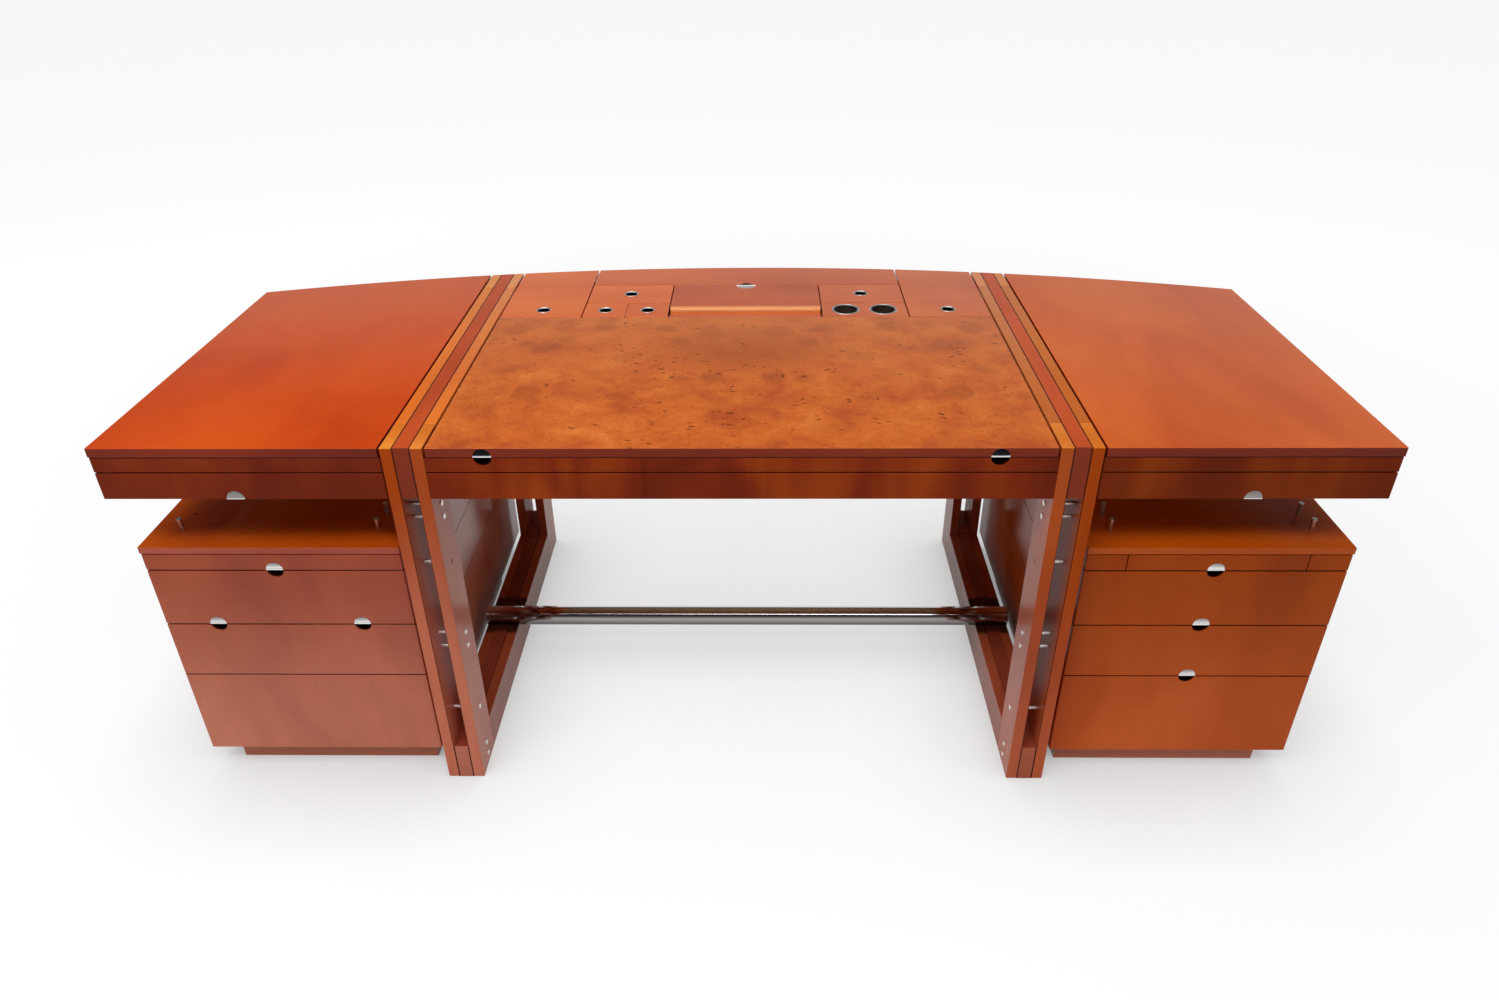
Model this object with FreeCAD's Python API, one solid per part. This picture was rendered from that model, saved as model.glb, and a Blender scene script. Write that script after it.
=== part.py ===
"""Kneehole desk with a bowed back, two side frames, two wings and two drawer pedestals.

Millimetres. X runs across the desk, Y from the sitter's edge to the bowed back, Z up.
Pieces are laid out with the sitter's edge at Y = 0 and moved at the end, so that the
origin lies on the floor under the middle of the desk.
"""
import math
import os

import FreeCAD
import Part

V = FreeCAD.Vector

# Whole desk
WIDTH = 2134.0            # across both wings
HEIGHT = 740.0            # floor to writing surface
DEPTH = 885.0             # sitter's edge to the crown of the bowed back
BOW_RISE = 155.0          # crown of the back behind the wings' back corners
EASE = 1.2                # rounding of the lacquered edges
SEAM = 2.0                # gap between neighbouring fronts
SHADOW_GAP = 4.0          # gap between a side frame and the tops beside it
REST_GAP = 0.3            # play under a lid, a sliding top or a drawer
OVERRUN = 20.0            # how far a cutting tool passes beyond its work

# Top zone, counted down from the writing surface
TOP_BOARD = 17.0          # writing top, wing tops and lids
STRIP = 28.0              # fixed front rail
APRON = 51.0              # apron and wing drawer fronts
FRONT_BOARD = 18.0        # thickness of the rail, the apron and every drawer front
WING_OVERHANG = 2.0       # wing top beyond its front, at the desk's end

# Side frames: two light frames on edge with a dark core between them
KNEE_WIDTH = 1032.0       # clear width between the frames
LIGHT_LAYER = 21.0
CORE_LAYER = 28.0
FRONT_STILE = 88.0
BACK_STILE = 80.0
FOOT_RAIL = 76.0          # height of the light floor rails
CORE_FOOT = 80.0          # height of the core's floor rail
CORE_COVE = 18.0          # cove where the core's foot rises between the back stiles

# Ties through the stiles
TIE_RADIUS = 3.5
TIE_HEAD_RADIUS = 5.0
TIE_HEAD = 1.6
TIE_FIT = 0.1
TIE_HEIGHT_SHARES = (0.030, 0.068, 0.197, 0.403, 0.445, 0.788, 0.824)   # of HEIGHT
PLUG_RADIUS = 5.0
PLUG_DEPTH = 10.0
PLUG_PROUD = 0.4
PLUG_HEIGHT_SHARE = 0.660   # of HEIGHT

# Footrest tube on the floor rails
TUBE_RADIUS = 21.2
TUBE_WALL = 2.6
TUBE_BACK = 399.0         # axis behind the sitter's edge
TUBE_SADDLE = 3.0         # how deep it lies in the light rails
TUBE_FIT = 0.2
TUBE_SHORT = 1.0          # end inside the outer frame's face

# Sliding writing top
SLIDE_TRAVEL = 260.0
GUIDE_WIDTH = 19.0
GUIDE_HEIGHT = 11.0
BATTEN_WIDTH = 26.0
TONGUE = 11.0
SLIDE_PLAY = 0.5
BURL_PULL_FROM_FRAME = 96.0

# Row of lids behind the writing top
ROW_SEAM = 3.0
PAIR_SEAM = 1.0           # between the two left front covers
FLAP_BAY = 322.0          # between the middle dividers' centres
COVER_BAY = 181.0         # beside the flap, between dividers' centres
FRONT_COVER_BAY = 81.0    # front covers and pencil board, front to seam centre
REAR_COVER_BAY = 113.0
BACK_RAIL = 117.0         # fixed rail behind the row, seam centre to the crown
NOSE_STRIP = 51.5         # fixed strip before the flap
NOSE_DROP = 9.0           # strip below the top, so that the flap's rounded front shows
WALL = 12.0               # compartment walls
FLOOR = 10.0              # compartment floor
FLOOR_UP = 2.0            # floor above the apron's lower edge
BACK_INSET = 8.0          # back aprons inside the top's edge
BACK_BOARD = 18.0
CABLE_GAP = 49.0          # open under the side lids at the back

# Lid hinges
LID_PIN_RADIUS = 3.0
PIN_FIT = 0.05
LID_PIN_DROP = 13.0       # pin axis below the lid
LID_PIN_FROM_BACK = 11.0  # pin axis inside the lid's nearer back corner
LID_PIN_BITE = 12.0       # into the frame
HINGE_BLOCK_WIDTH = 15.0
HINGE_BLOCK_DEPTH = 18.0
HINGE_BLOCK_BELOW = 8.0   # block below the pin's axis
HINGE_BLOCK_GAP = 3.0     # block to the divider
CHEEK = 8.0               # divider behind the pin's axis
CHEEK_DROP = 5.0
FLAP_PIN_RADIUS = 2.5
FLAP_PIN_BITE = 10.0
FLAP_PLATE = 1.6
FLAP_PLATE_DEPTH = 14.0
FLAP_PLATE_DROP = 1.0

# Finger rings and pencil cups
RING_RADIUS = 15.8
RING_BORE = 12.0
RING_BEVEL = 1.2
RING_FIT = 0.2
LID_RING_FROM_FRONT = 42.0
CUP_PITCH = 79.0
CUP_RIM_RADIUS = 29.5
CUP_RIM = 2.5
CUP_RADIUS = 26.5
CUP_WALL = 1.6
CUP_UP = 14.0             # cup's bottom above the compartment floor

# Half-round pulls
PULL_RADIUS = 15.3
PULL_FIT = 0.2
PULL_PLATE = 2.5
PULL_SET_BACK = 0.8
PULL_LIP = 2.2
FINGER_DEPTH = 12.0
FLAP_PULL_RADIUS = 22.0
RAIL_SCOOP_RADIUS = 10.0  # finger scoop in the back rail, behind the flap's pull

# Wings
CASE_BOARD = 18.0
WING_BOX_FROM_BACK = 192.0   # box inside the wing's back corner
WING_BOX_TOP_GAP = 4.0    # box below the rail's lower edge
WING_RUNNER = 6.0
WING_PULL_FROM_END = 224.0

# Drawer boxes
BOX_SIDE = 12.0
BOX_BOTTOM = 5.0
BOX_CLEAR = 13.0          # box side to case side
RUNNER = 8.0

# Pedestals
PED_GAP = 17.0            # pedestal's side to the side frame
PED_INSET = 4.0           # pedestal's side inside the desk's end
SHELF_GAP = 119.0         # pedestal top to the wing
PED_OVERHANG = 1.5        # pedestal top beyond its sides and fronts
PED_SET_BACK = 34.0       # fronts behind the sitter's edge
PED_TOP = 14.0
PED_PLINTH = 44.0
MIDDLE_FRONT = 120.0
UPPER_FRONT = 121.0
TRAY_FRONT = 36.0
PED_BOARD = 16.0
PED_SIDE_INSET = 4.0      # case sides behind the fronts' ends
PED_BACK_INSET = 10.0
PED_FRONT_GAP = 0.5       # fronts to case
PED_GROOVE = 2.0          # grooves in the sides, in line with the fronts' seams
PED_BOX_FROM_BACK = 78.0  # box inside the wing's back corner
PED_BOX_TOP_GAP = 20.0    # box below its front's upper edge
TWIN_PULL_FROM_SIDE = 96.5
PLINTH_SET_BACK = 22.0
PLINTH_INNER = 19.0
PLINTH_OUTER = 46.0
PLINTH_FROM_BACK = 70.0   # plinth's back inside the wing's back corner
TRAY_BOARD = 10.0
TRAY_LENGTH = 360.0
SMALL_TRAY_FROM_SIDE = 73.0
SMALL_TRAY_IN = 4.0       # small tray's board inside its front's end
TRAY_GUIDE = 12.0
TRAY_LEDGE = 14.0
TRAY_PLAY = 2.0
STUD_RADIUS = 4.2
STUD_CAP_RADIUS = 4.8
STUD_CAP = 3.0
STUD_HEIGHT = 24.0
STUD_FROM_SIDE = 52.0
STUD_FROM_FRONT = 56.0
STUD_PITCH = 53.0
STUD_HOLE_RADIUS = 3.0    # bare hole where a stud is not fitted
STUD_HOLE_DEPTH = 8.0

# Places that follow from the sizes
HALF = WIDTH / 2
END_DEPTH = DEPTH - BOW_RISE
BOW_RADIUS = (HALF ** 2 + BOW_RISE ** 2) / (2 * BOW_RISE)
TOP_UNDER = HEIGHT - TOP_BOARD
STRIP_UNDER = TOP_UNDER - STRIP
ZONE_UNDER = STRIP_UNDER - APRON
FLOOR_TOP = ZONE_UNDER + FLOOR_UP + FLOOR
WALL_TOP = TOP_UNDER - REST_GAP
X_IN = KNEE_WIDTH / 2
X_CORE = X_IN + LIGHT_LAYER
X_OUTER = X_CORE + CORE_LAYER
X_OUT = X_OUTER + LIGHT_LAYER
TUBE_UP = FOOT_RAIL - TUBE_SADDLE + TUBE_RADIUS
X_FLAP = FLAP_BAY / 2
X_LID = X_FLAP + COVER_BAY
X_MID_COVER = X_FLAP + COVER_BAY / 2
Y_RAIL = DEPTH - BACK_RAIL
Y_CROSS = Y_RAIL - REAR_COVER_BAY
ROW_FRONT = Y_CROSS - FRONT_COVER_BAY
WALL_BACK = ROW_FRONT + WALL
BURL_DEPTH = ROW_FRONT - SEAM
HALF_SEAM = ROW_SEAM / 2
APRON_INSET = BACK_INSET + BACK_BOARD
PED_X1 = HALF - PED_INSET
PED_X0 = X_OUT + PED_GAP
PED_MID = (PED_X0 + PED_X1) / 2
PED_BACK_OF_FRONT = PED_SET_BACK + FRONT_BOARD
PED_CASE_FRONT = PED_BACK_OF_FRONT + PED_FRONT_GAP
PED_CASE_INSET = PED_BACK_INSET + PED_BOARD + REST_GAP
Z_PED = ZONE_UNDER - SHELF_GAP
Z_TRAY = Z_PED - PED_TOP
Z_UPPER = Z_TRAY - TRAY_FRONT
Z_MIDDLE = Z_UPPER - UPPER_FRONT
Z_LOWER = Z_MIDDLE - MIDDLE_FRONT
WING_BOX_LENGTH = END_DEPTH - WING_BOX_FROM_BACK - FRONT_BOARD
PED_BOX_LENGTH = END_DEPTH - PED_BOX_FROM_BACK - PED_BACK_OF_FRONT
LEFT, RIGHT = -1, 1
SIDE_NAME = {LEFT: "left", RIGHT: "right"}

nodes = {}


def add(name, *solids):
    """Keep one named sub-part, made of one or more solids."""
    nodes.setdefault(name, []).extend(solids)


def board(x0, x1, y0, y1, z0, z1):
    """Rectangular board between two corners, given in either order."""
    xa, xb = sorted((x0, x1))
    ya, yb = sorted((y0, y1))
    za, zb = sorted((z0, z1))
    return Part.makeBox(xb - xa, yb - ya, zb - za, V(xa, ya, za))


def eased(shape, radius=EASE):
    """Round every edge of a board."""
    return shape.makeFillet(radius, shape.Edges)


def rod(radius, start, end):
    """Round bar between two points."""
    along = end - start
    return Part.makeCylinder(radius, along.Length, start, along)


def one(shape):
    """The single solid of a boolean result."""
    return shape.removeSplitter().Solids[0]


def bow(x, inset=0):
    """Y of the bowed back edge at x, moved inside by inset."""
    return DEPTH - BOW_RADIUS + math.sqrt((BOW_RADIUS - inset) ** 2 - x ** 2)


def bow_drum(inset=0):
    """Upright drum whose far side is the bowed back, moved inside by inset."""
    foot = V(0, DEPTH - BOW_RADIUS, -OVERRUN)
    return Part.makeCylinder(BOW_RADIUS - inset, HEIGHT + 2 * OVERRUN, foot)


def bowed_board(x0, x1, y0, z0, z1, inset=0):
    """Board that runs from y0 back to the bow."""
    return one(board(x0, x1, y0, DEPTH, z0, z1).common(bow_drum(inset)))


def bowed_skin(x0, x1, z0, z1, inset, thickness):
    """Curved board that follows the bow."""
    blank = board(x0, x1, 0, DEPTH, z0, z1).common(bow_drum(inset))
    return one(blank.cut(bow_drum(inset + thickness)))


# Pulls, rings and drawers

def pull_hole(x, y, z, radius=PULL_RADIUS):
    """Round finger hole in a front's face; a front's edge at z keeps half of it."""
    return rod(radius + PULL_FIT, V(x, y - OVERRUN, z), V(x, y + FINGER_DEPTH, z))


def pull_plate(x, y, z):
    """Half-round metal plate with a lip along its straight lower edge."""
    back = y + PULL_SET_BACK + PULL_PLATE
    disc = rod(PULL_RADIUS, V(x, y + PULL_SET_BACK, z), V(x, back, z))
    upper = board(x - PULL_RADIUS, x + PULL_RADIUS, y, back, z, z + PULL_RADIUS)
    lip_half = math.sqrt(PULL_RADIUS ** 2 - PULL_LIP ** 2)
    lip = board(x - lip_half, x + lip_half, y, back, z, z + PULL_LIP)
    return one(disc.common(upper).fuse(lip))


def ring_hole(x, y):
    """Hole for a finger ring in a top board."""
    return rod(RING_RADIUS + RING_FIT, V(x, y, TOP_UNDER - OVERRUN), V(x, y, HEIGHT + OVERRUN))


def finger_ring(x, y):
    """Metal sleeve with a bevelled mouth, flush with the top."""
    sleeve = rod(RING_RADIUS, V(x, y, TOP_UNDER), V(x, y, HEIGHT))
    sleeve = sleeve.cut(rod(RING_BORE, V(x, y, TOP_UNDER - OVERRUN), V(x, y, HEIGHT + OVERRUN)))
    mouth = Part.makeCone(RING_BORE, RING_BORE + RING_BEVEL, RING_BEVEL, V(x, y, HEIGHT - RING_BEVEL))
    return one(sleeve.cut(mouth))


def drawer_box(x0, x1, y0, length, z0, z1):
    """Sides, back and bottom of a drawer, behind its front."""
    xa, xb = sorted((x0, x1))
    inner_a, inner_b = xa + BOX_SIDE, xb - BOX_SIDE
    y1 = y0 + length
    return [
        board(xa, inner_a, y0, y1, z0, z1),
        board(inner_b, xb, y0, y1, z0, z1),
        board(inner_a, inner_b, y1 - BOX_SIDE, y1, z0, z1),
        board(inner_a, inner_b, y0, y1 - BOX_SIDE, z0, z0 + BOX_BOTTOM),
    ]


def runners(case_a, case_b, y0, length, z_box, height):
    """Two battens on a case's sides, under the sides of a drawer or tray."""
    reach = BOX_CLEAR + BOX_SIDE
    z1 = z_box - REST_GAP
    xa, xb = sorted((case_a, case_b))
    return [
        board(xa, xa + reach, y0, y0 + length, z1 - height, z1),
        board(xb - reach, xb, y0, y0 + length, z1 - height, z1),
    ]


# Side frames

def tie_places():
    """Middle of the front stile, which the ties go through, and their heights."""
    return [(FRONT_STILE / 2, share * HEIGHT) for share in TIE_HEIGHT_SHARES]


def frame_cuts(side):
    """Bores for the ties and the tube's saddle through all layers, and the plug's bore with its tie."""
    x0, x1 = side * (X_IN - OVERRUN), side * (X_OUT + OVERRUN)
    bores = [rod(TIE_RADIUS + TIE_FIT, V(x0, y, z), V(x1, y, z)) for y, z in tie_places()]
    saddle = rod(TUBE_RADIUS + TUBE_FIT, V(x0, TUBE_BACK, TUBE_UP), V(x1, TUBE_BACK, TUBE_UP))
    y_plug, z_plug = FRONT_STILE / 2, PLUG_HEIGHT_SHARE * HEIGHT
    plug_end = V(side * (X_IN + PLUG_DEPTH), y_plug, z_plug)
    plug = rod(PLUG_RADIUS, V(x0, y_plug, z_plug), plug_end)
    plug_tie = rod(TIE_RADIUS + TIE_FIT, plug_end, V(x1, y_plug, z_plug))
    return Part.makeCompound(bores + [saddle, plug, plug_tie])


def light_frame(x0, x1, cuts):
    """Front and back stiles, top rail and floor rail of one light layer."""
    y_back = bow(X_OUT) - BACK_STILE
    members = [
        board(x0, x1, 0, FRONT_STILE, 0, HEIGHT),
        bowed_board(x0, x1, y_back, 0, HEIGHT),
        board(x0, x1, FRONT_STILE, y_back, ZONE_UNDER, HEIGHT),
        board(x0, x1, FRONT_STILE, y_back, 0, FOOT_RAIL),
    ]
    return [one(eased(member).cut(cuts)) for member in members]


def core_foot(x0, x1):
    """Dark floor rail that rises in a cove between the back stiles."""
    y_back = bow(X_OUT) - BACK_STILE
    z_step = CORE_FOOT + CORE_COVE
    foot = board(x0, x1, 0, DEPTH, 0, CORE_FOOT)
    step = board(x0, x1, y_back - CORE_COVE, DEPTH, 0, z_step)
    cove = rod(CORE_COVE, V(x0, y_back - CORE_COVE, z_step), V(x1, y_back - CORE_COVE, z_step))
    return one(foot.fuse(step.cut(cove)).common(bow_drum()))


def side_frame(side):
    """The three layers of one side frame and the ties through them."""
    name = SIDE_NAME[side]
    cuts = frame_cuts(side)
    add(name + "_inner_frame", *light_frame(side * X_IN, side * X_CORE, cuts))
    add(name + "_outer_frame", *light_frame(side * X_OUTER, side * X_OUT, cuts))
    core_top = eased(bowed_board(side * X_CORE, side * X_OUTER, 0, ZONE_UNDER, HEIGHT))
    foot = core_foot(side * X_CORE, side * X_OUTER)
    add("frame_core_rails", one(core_top.cut(cuts)), one(foot.cut(cuts)))
    for y, z in tie_places():
        bar = rod(TIE_RADIUS, V(side * X_IN, y, z), V(side * X_OUT, y, z))
        inner = rod(TIE_HEAD_RADIUS, V(side * (X_IN - TIE_HEAD), y, z), V(side * X_IN, y, z))
        outer = rod(TIE_HEAD_RADIUS, V(side * X_OUT, y, z), V(side * (X_OUT + TIE_HEAD), y, z))
        add("frame_ties", one(bar.fuse(inner).fuse(outer)))
    y, z = FRONT_STILE / 2, PLUG_HEIGHT_SHARE * HEIGHT
    plug_end = V(side * (X_IN + PLUG_DEPTH), y, z)
    add("frame_plugs", rod(PLUG_RADIUS, V(side * (X_IN - PLUG_PROUD), y, z), plug_end))
    bar = rod(TIE_RADIUS, plug_end, V(side * X_OUT, y, z))
    outer = rod(TIE_HEAD_RADIUS, V(side * X_OUT, y, z), V(side * (X_OUT + TIE_HEAD), y, z))
    add("frame_ties", one(bar.fuse(outer)))


def footrest():
    """Tube that lies in saddles across the floor rails of both frames."""
    end = X_OUT - TUBE_SHORT
    a, b = V(-end, TUBE_BACK, TUBE_UP), V(end, TUBE_BACK, TUBE_UP)
    bore = rod(TUBE_RADIUS - TUBE_WALL, a - V(OVERRUN, 0, 0), b + V(OVERRUN, 0, 0))
    add("footrest_tube", one(rod(TUBE_RADIUS, a, b).cut(bore)))


# Middle of the desk

def writing_top():
    """Veneered top that slides toward the sitter on two captured battens."""
    x1 = X_IN - SHADOW_GAP
    x_pull = X_IN - BURL_PULL_FROM_FRAME
    top = eased(board(-x1, x1, 0, BURL_DEPTH, TOP_UNDER, HEIGHT))
    rail = eased(board(-X_IN, X_IN, 0, FRONT_BOARD, STRIP_UNDER, TOP_UNDER - REST_GAP))
    y1 = BURL_DEPTH - SEAM
    y0 = FRONT_BOARD + SLIDE_TRAVEL + SEAM
    for side in (LEFT, RIGHT):
        hole = pull_hole(side * x_pull, 0, TOP_UNDER)
        top = top.cut(hole)
        rail = rail.cut(hole)
        add("writing_top_pulls", pull_plate(side * x_pull, 0, TOP_UNDER))
        x_batten = X_IN - GUIDE_WIDTH - SLIDE_PLAY
        z_guide = WALL_TOP - GUIDE_HEIGHT
        z_tongue = z_guide - SLIDE_PLAY
        add("drawer_runners", board(side * (X_IN - GUIDE_WIDTH), side * X_IN,
                                    FRONT_BOARD, BURL_DEPTH, z_guide, WALL_TOP))
        add("writing_top_battens",
            board(side * (x_batten - BATTEN_WIDTH), side * x_batten,
                  y0, y1, z_tongue - TONGUE, TOP_UNDER),
            board(side * x_batten, side * (X_IN - SLIDE_PLAY),
                  y0, y1, z_tongue - TONGUE, z_tongue))
    add("writing_top", one(top))
    apron = eased(board(-X_IN, X_IN, 0, FRONT_BOARD, ZONE_UNDER, STRIP_UNDER - SEAM))
    add("centre_front_boards", one(rail), apron)


def lid_axis():
    """Y and Z of the side lids' hinge pins."""
    return bow(X_IN) - LID_PIN_FROM_BACK, TOP_UNDER - LID_PIN_DROP


def lid_pin_bores():
    """Bores for the side lids' pins, right across the desk at the back."""
    y, z = lid_axis()
    reach = X_IN + LID_PIN_BITE
    return rod(LID_PIN_RADIUS + PIN_FIT, V(-reach, y, z), V(reach, y, z))


def compartments():
    """Floor, walls and back aprons under the row of lids."""
    floor = bowed_board(-X_IN, X_IN, FRONT_BOARD, FLOOR_TOP - FLOOR, FLOOR_TOP, APRON_INSET + REST_GAP)
    half = WALL / 2
    y_pin, z_pin = lid_axis()
    walls = [board(-X_IN, X_IN, ROW_FRONT, WALL_BACK, FLOOR_TOP, WALL_TOP),
             board(half - X_LID, X_LID - half, Y_RAIL - half, Y_RAIL + half, FLOOR_TOP, WALL_TOP),
             board(-X_MID_COVER - half, -X_MID_COVER + half, WALL_BACK, Y_CROSS - half,
                   FLOOR_TOP, WALL_TOP)]
    for side in (LEFT, RIGHT):
        divider = board(side * (X_LID - half), side * (X_LID + half),
                        WALL_BACK, y_pin + CHEEK, FLOOR_TOP, WALL_TOP)
        notch = board(side * (X_LID - WALL), side * (X_LID + WALL),
                      y_pin, y_pin + CHEEK + OVERRUN, TOP_UNDER - CHEEK_DROP, HEIGHT)
        walls.append(one(divider.cut(notch).cut(lid_pin_bores())))
        walls.append(board(side * (X_FLAP - half), side * (X_FLAP + half),
                           WALL_BACK, Y_RAIL - half, FLOOR_TOP, WALL_TOP))
        walls.append(board(side * (X_FLAP + half), side * (X_LID - half),
                           Y_CROSS - half, Y_CROSS + half, FLOOR_TOP, WALL_TOP))
        add("centre_back_apron", bowed_skin(side * (X_LID + half), side * X_IN,
                                            ZONE_UNDER, TOP_UNDER - CABLE_GAP, BACK_INSET, BACK_BOARD))
    add("centre_compartments", floor, *walls)
    add("centre_back_apron", bowed_skin(half - X_LID, X_LID - half, ZONE_UNDER, WALL_TOP,
                                        BACK_INSET, BACK_BOARD))


def row_lid(x0, x1, y0, y1):
    """Board of the row, with its half of the seams taken off."""
    xa, xb = sorted((x0, x1))
    return eased(board(xa + HALF_SEAM, xb - HALF_SEAM, y0, y1 - HALF_SEAM, TOP_UNDER, HEIGHT))


def side_lid(side):
    """Lid at the end of the row, hinged at the back on two pins, lifted by its ring."""
    name = SIDE_NAME[side] + "_lid"
    x0, x1 = X_LID + HALF_SEAM, X_IN - SHADOW_GAP
    x_ring, y_ring = side * (x0 + x1) / 2, ROW_FRONT + LID_RING_FROM_FRONT
    y_pin, z_pin = lid_axis()
    lid = eased(bowed_board(side * x0, side * x1, ROW_FRONT, TOP_UNDER, HEIGHT))
    block_out = x1 - SLIDE_PLAY
    block_in = X_LID + WALL / 2 + HINGE_BLOCK_GAP
    spans = ((block_in, block_in + HINGE_BLOCK_WIDTH), (block_out - HINGE_BLOCK_WIDTH, block_out))
    half_depth = HINGE_BLOCK_DEPTH / 2
    blocks = [board(side * a, side * b, y_pin - half_depth, y_pin + half_depth,
                    z_pin - HINGE_BLOCK_BELOW, TOP_UNDER) for a, b in spans]
    bore = lid_pin_bores()
    add(name, one(lid.cut(ring_hole(x_ring, y_ring))), *[one(block.cut(bore)) for block in blocks])
    add(name + "_ring", finger_ring(x_ring, y_ring))
    pins = ((X_LID - WALL / 2, spans[0][1]), (spans[1][0], X_IN + LID_PIN_BITE))
    for a, b in pins:
        add("lid_hinge_pins", rod(LID_PIN_RADIUS, V(side * a, y_pin, z_pin), V(side * b, y_pin, z_pin)))


def cover(name, x0, x1, y0, y1):
    """Loose cover that lifts out by the ring in its middle."""
    x, y = (x0 + x1) / 2, (y0 + y1) / 2
    add(name, one(row_lid(x0, x1, y0, y1).cut(ring_hole(x, y))))
    add(name + "_ring", finger_ring(x, y))


def covers():
    """Loose covers beside the flap."""
    rear = Y_CROSS + HALF_SEAM
    tighten = HALF_SEAM - PAIR_SEAM / 2
    cover("left_rear_cover", -X_LID, -X_FLAP, rear, Y_RAIL)
    cover("right_rear_cover", X_FLAP, X_LID, rear, Y_RAIL)
    cover("left_front_cover_outer", -X_LID, tighten - X_MID_COVER, ROW_FRONT, Y_CROSS)
    cover("left_front_cover_inner", -X_MID_COVER - tighten, -X_FLAP, ROW_FRONT, Y_CROSS)


def pencil_board():
    """Fixed board with two pencil cups let into it."""
    plate = row_lid(X_FLAP, X_LID, ROW_FRONT, Y_CROSS)
    y = (ROW_FRONT + Y_CROSS) / 2
    low = FLOOR_TOP + CUP_UP
    for x in (X_MID_COVER - CUP_PITCH / 2, X_MID_COVER + CUP_PITCH / 2):
        seat = rod(CUP_RIM_RADIUS + RING_FIT, V(x, y, HEIGHT - CUP_RIM), V(x, y, HEIGHT + OVERRUN))
        hole = rod(CUP_RADIUS + RING_FIT, V(x, y, TOP_UNDER - OVERRUN), V(x, y, HEIGHT))
        plate = plate.cut(seat).cut(hole)
        rim = rod(CUP_RIM_RADIUS, V(x, y, HEIGHT - CUP_RIM), V(x, y, HEIGHT))
        body = rod(CUP_RADIUS, V(x, y, low), V(x, y, HEIGHT))
        inside = rod(CUP_RADIUS - CUP_WALL, V(x, y, low + CUP_WALL), V(x, y, HEIGHT + OVERRUN))
        add("pencil_cups", one(rim.fuse(body).cut(inside)))
    add("pencil_board", one(plate))


def flap():
    """Middle flap that turns on its rounded front edge, and the fixed boards before and behind it."""
    nose = TOP_BOARD / 2
    x1 = X_FLAP - HALF_SEAM
    y_front = ROW_FRONT + NOSE_STRIP + SLIDE_PLAY
    y_axis, z_axis = y_front + nose, HEIGHT - nose
    y_edge = Y_RAIL - HALF_SEAM
    leaf = board(-x1, x1, y_axis, y_edge, TOP_UNDER, HEIGHT)
    leaf = leaf.fuse(rod(nose, V(-x1, y_axis, z_axis), V(x1, y_axis, z_axis)))
    finger = FLAP_PULL_RADIUS + PULL_FIT
    scoop = rod(finger, V(0, y_edge, HEIGHT - FINGER_DEPTH), V(0, y_edge, HEIGHT + OVERRUN))
    leaf = leaf.cut(scoop)
    plate_top = HEIGHT - PULL_SET_BACK
    disc = rod(FLAP_PULL_RADIUS, V(0, y_edge, plate_top - PULL_PLATE), V(0, y_edge, plate_top))
    front_half = board(-FLAP_PULL_RADIUS, FLAP_PULL_RADIUS, y_edge - FLAP_PULL_RADIUS, y_edge,
                       TOP_UNDER, HEIGHT)
    lip_half = math.sqrt(FLAP_PULL_RADIUS ** 2 - PULL_LIP ** 2)
    lip = board(-lip_half, lip_half, y_edge - PULL_LIP, y_edge, plate_top - PULL_PLATE, HEIGHT)
    add("flap_pull", one(disc.common(front_half).fuse(lip)))
    for side in (LEFT, RIGHT):
        x_inner = x1 - FLAP_PIN_BITE
        bore = rod(FLAP_PIN_RADIUS + PIN_FIT, V(side * (x_inner - SLIDE_PLAY), y_axis, z_axis),
                   V(side * (x1 + OVERRUN), y_axis, z_axis))
        leaf = leaf.cut(bore)
        pin = rod(FLAP_PIN_RADIUS, V(side * x_inner, y_axis, z_axis), V(side * X_FLAP, y_axis, z_axis))
        plate = board(side * (X_FLAP - FLAP_PLATE / 2), side * (X_FLAP + FLAP_PLATE / 2),
                      y_axis - FLAP_PLATE_DEPTH / 2, y_axis + FLAP_PLATE_DEPTH / 2,
                      WALL_TOP, HEIGHT - FLAP_PLATE_DROP)
        add("lid_hinge_pins", one(plate.fuse(pin)))
    add("flap", one(leaf))
    strip = eased(board(-x1, x1, ROW_FRONT, ROW_FRONT + NOSE_STRIP, WALL_TOP, HEIGHT - NOSE_DROP))
    x_rail = X_LID - HALF_SEAM
    rail = eased(bowed_board(-x_rail, x_rail, Y_RAIL + HALF_SEAM, WALL_TOP, HEIGHT))
    finger_scoop = rod(RAIL_SCOOP_RADIUS, V(0, y_edge, HEIGHT - FINGER_DEPTH), V(0, y_edge, HEIGHT + OVERRUN))
    add("row_fixed_boards", strip, one(rail.cut(finger_scoop)))


# Wings

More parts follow.
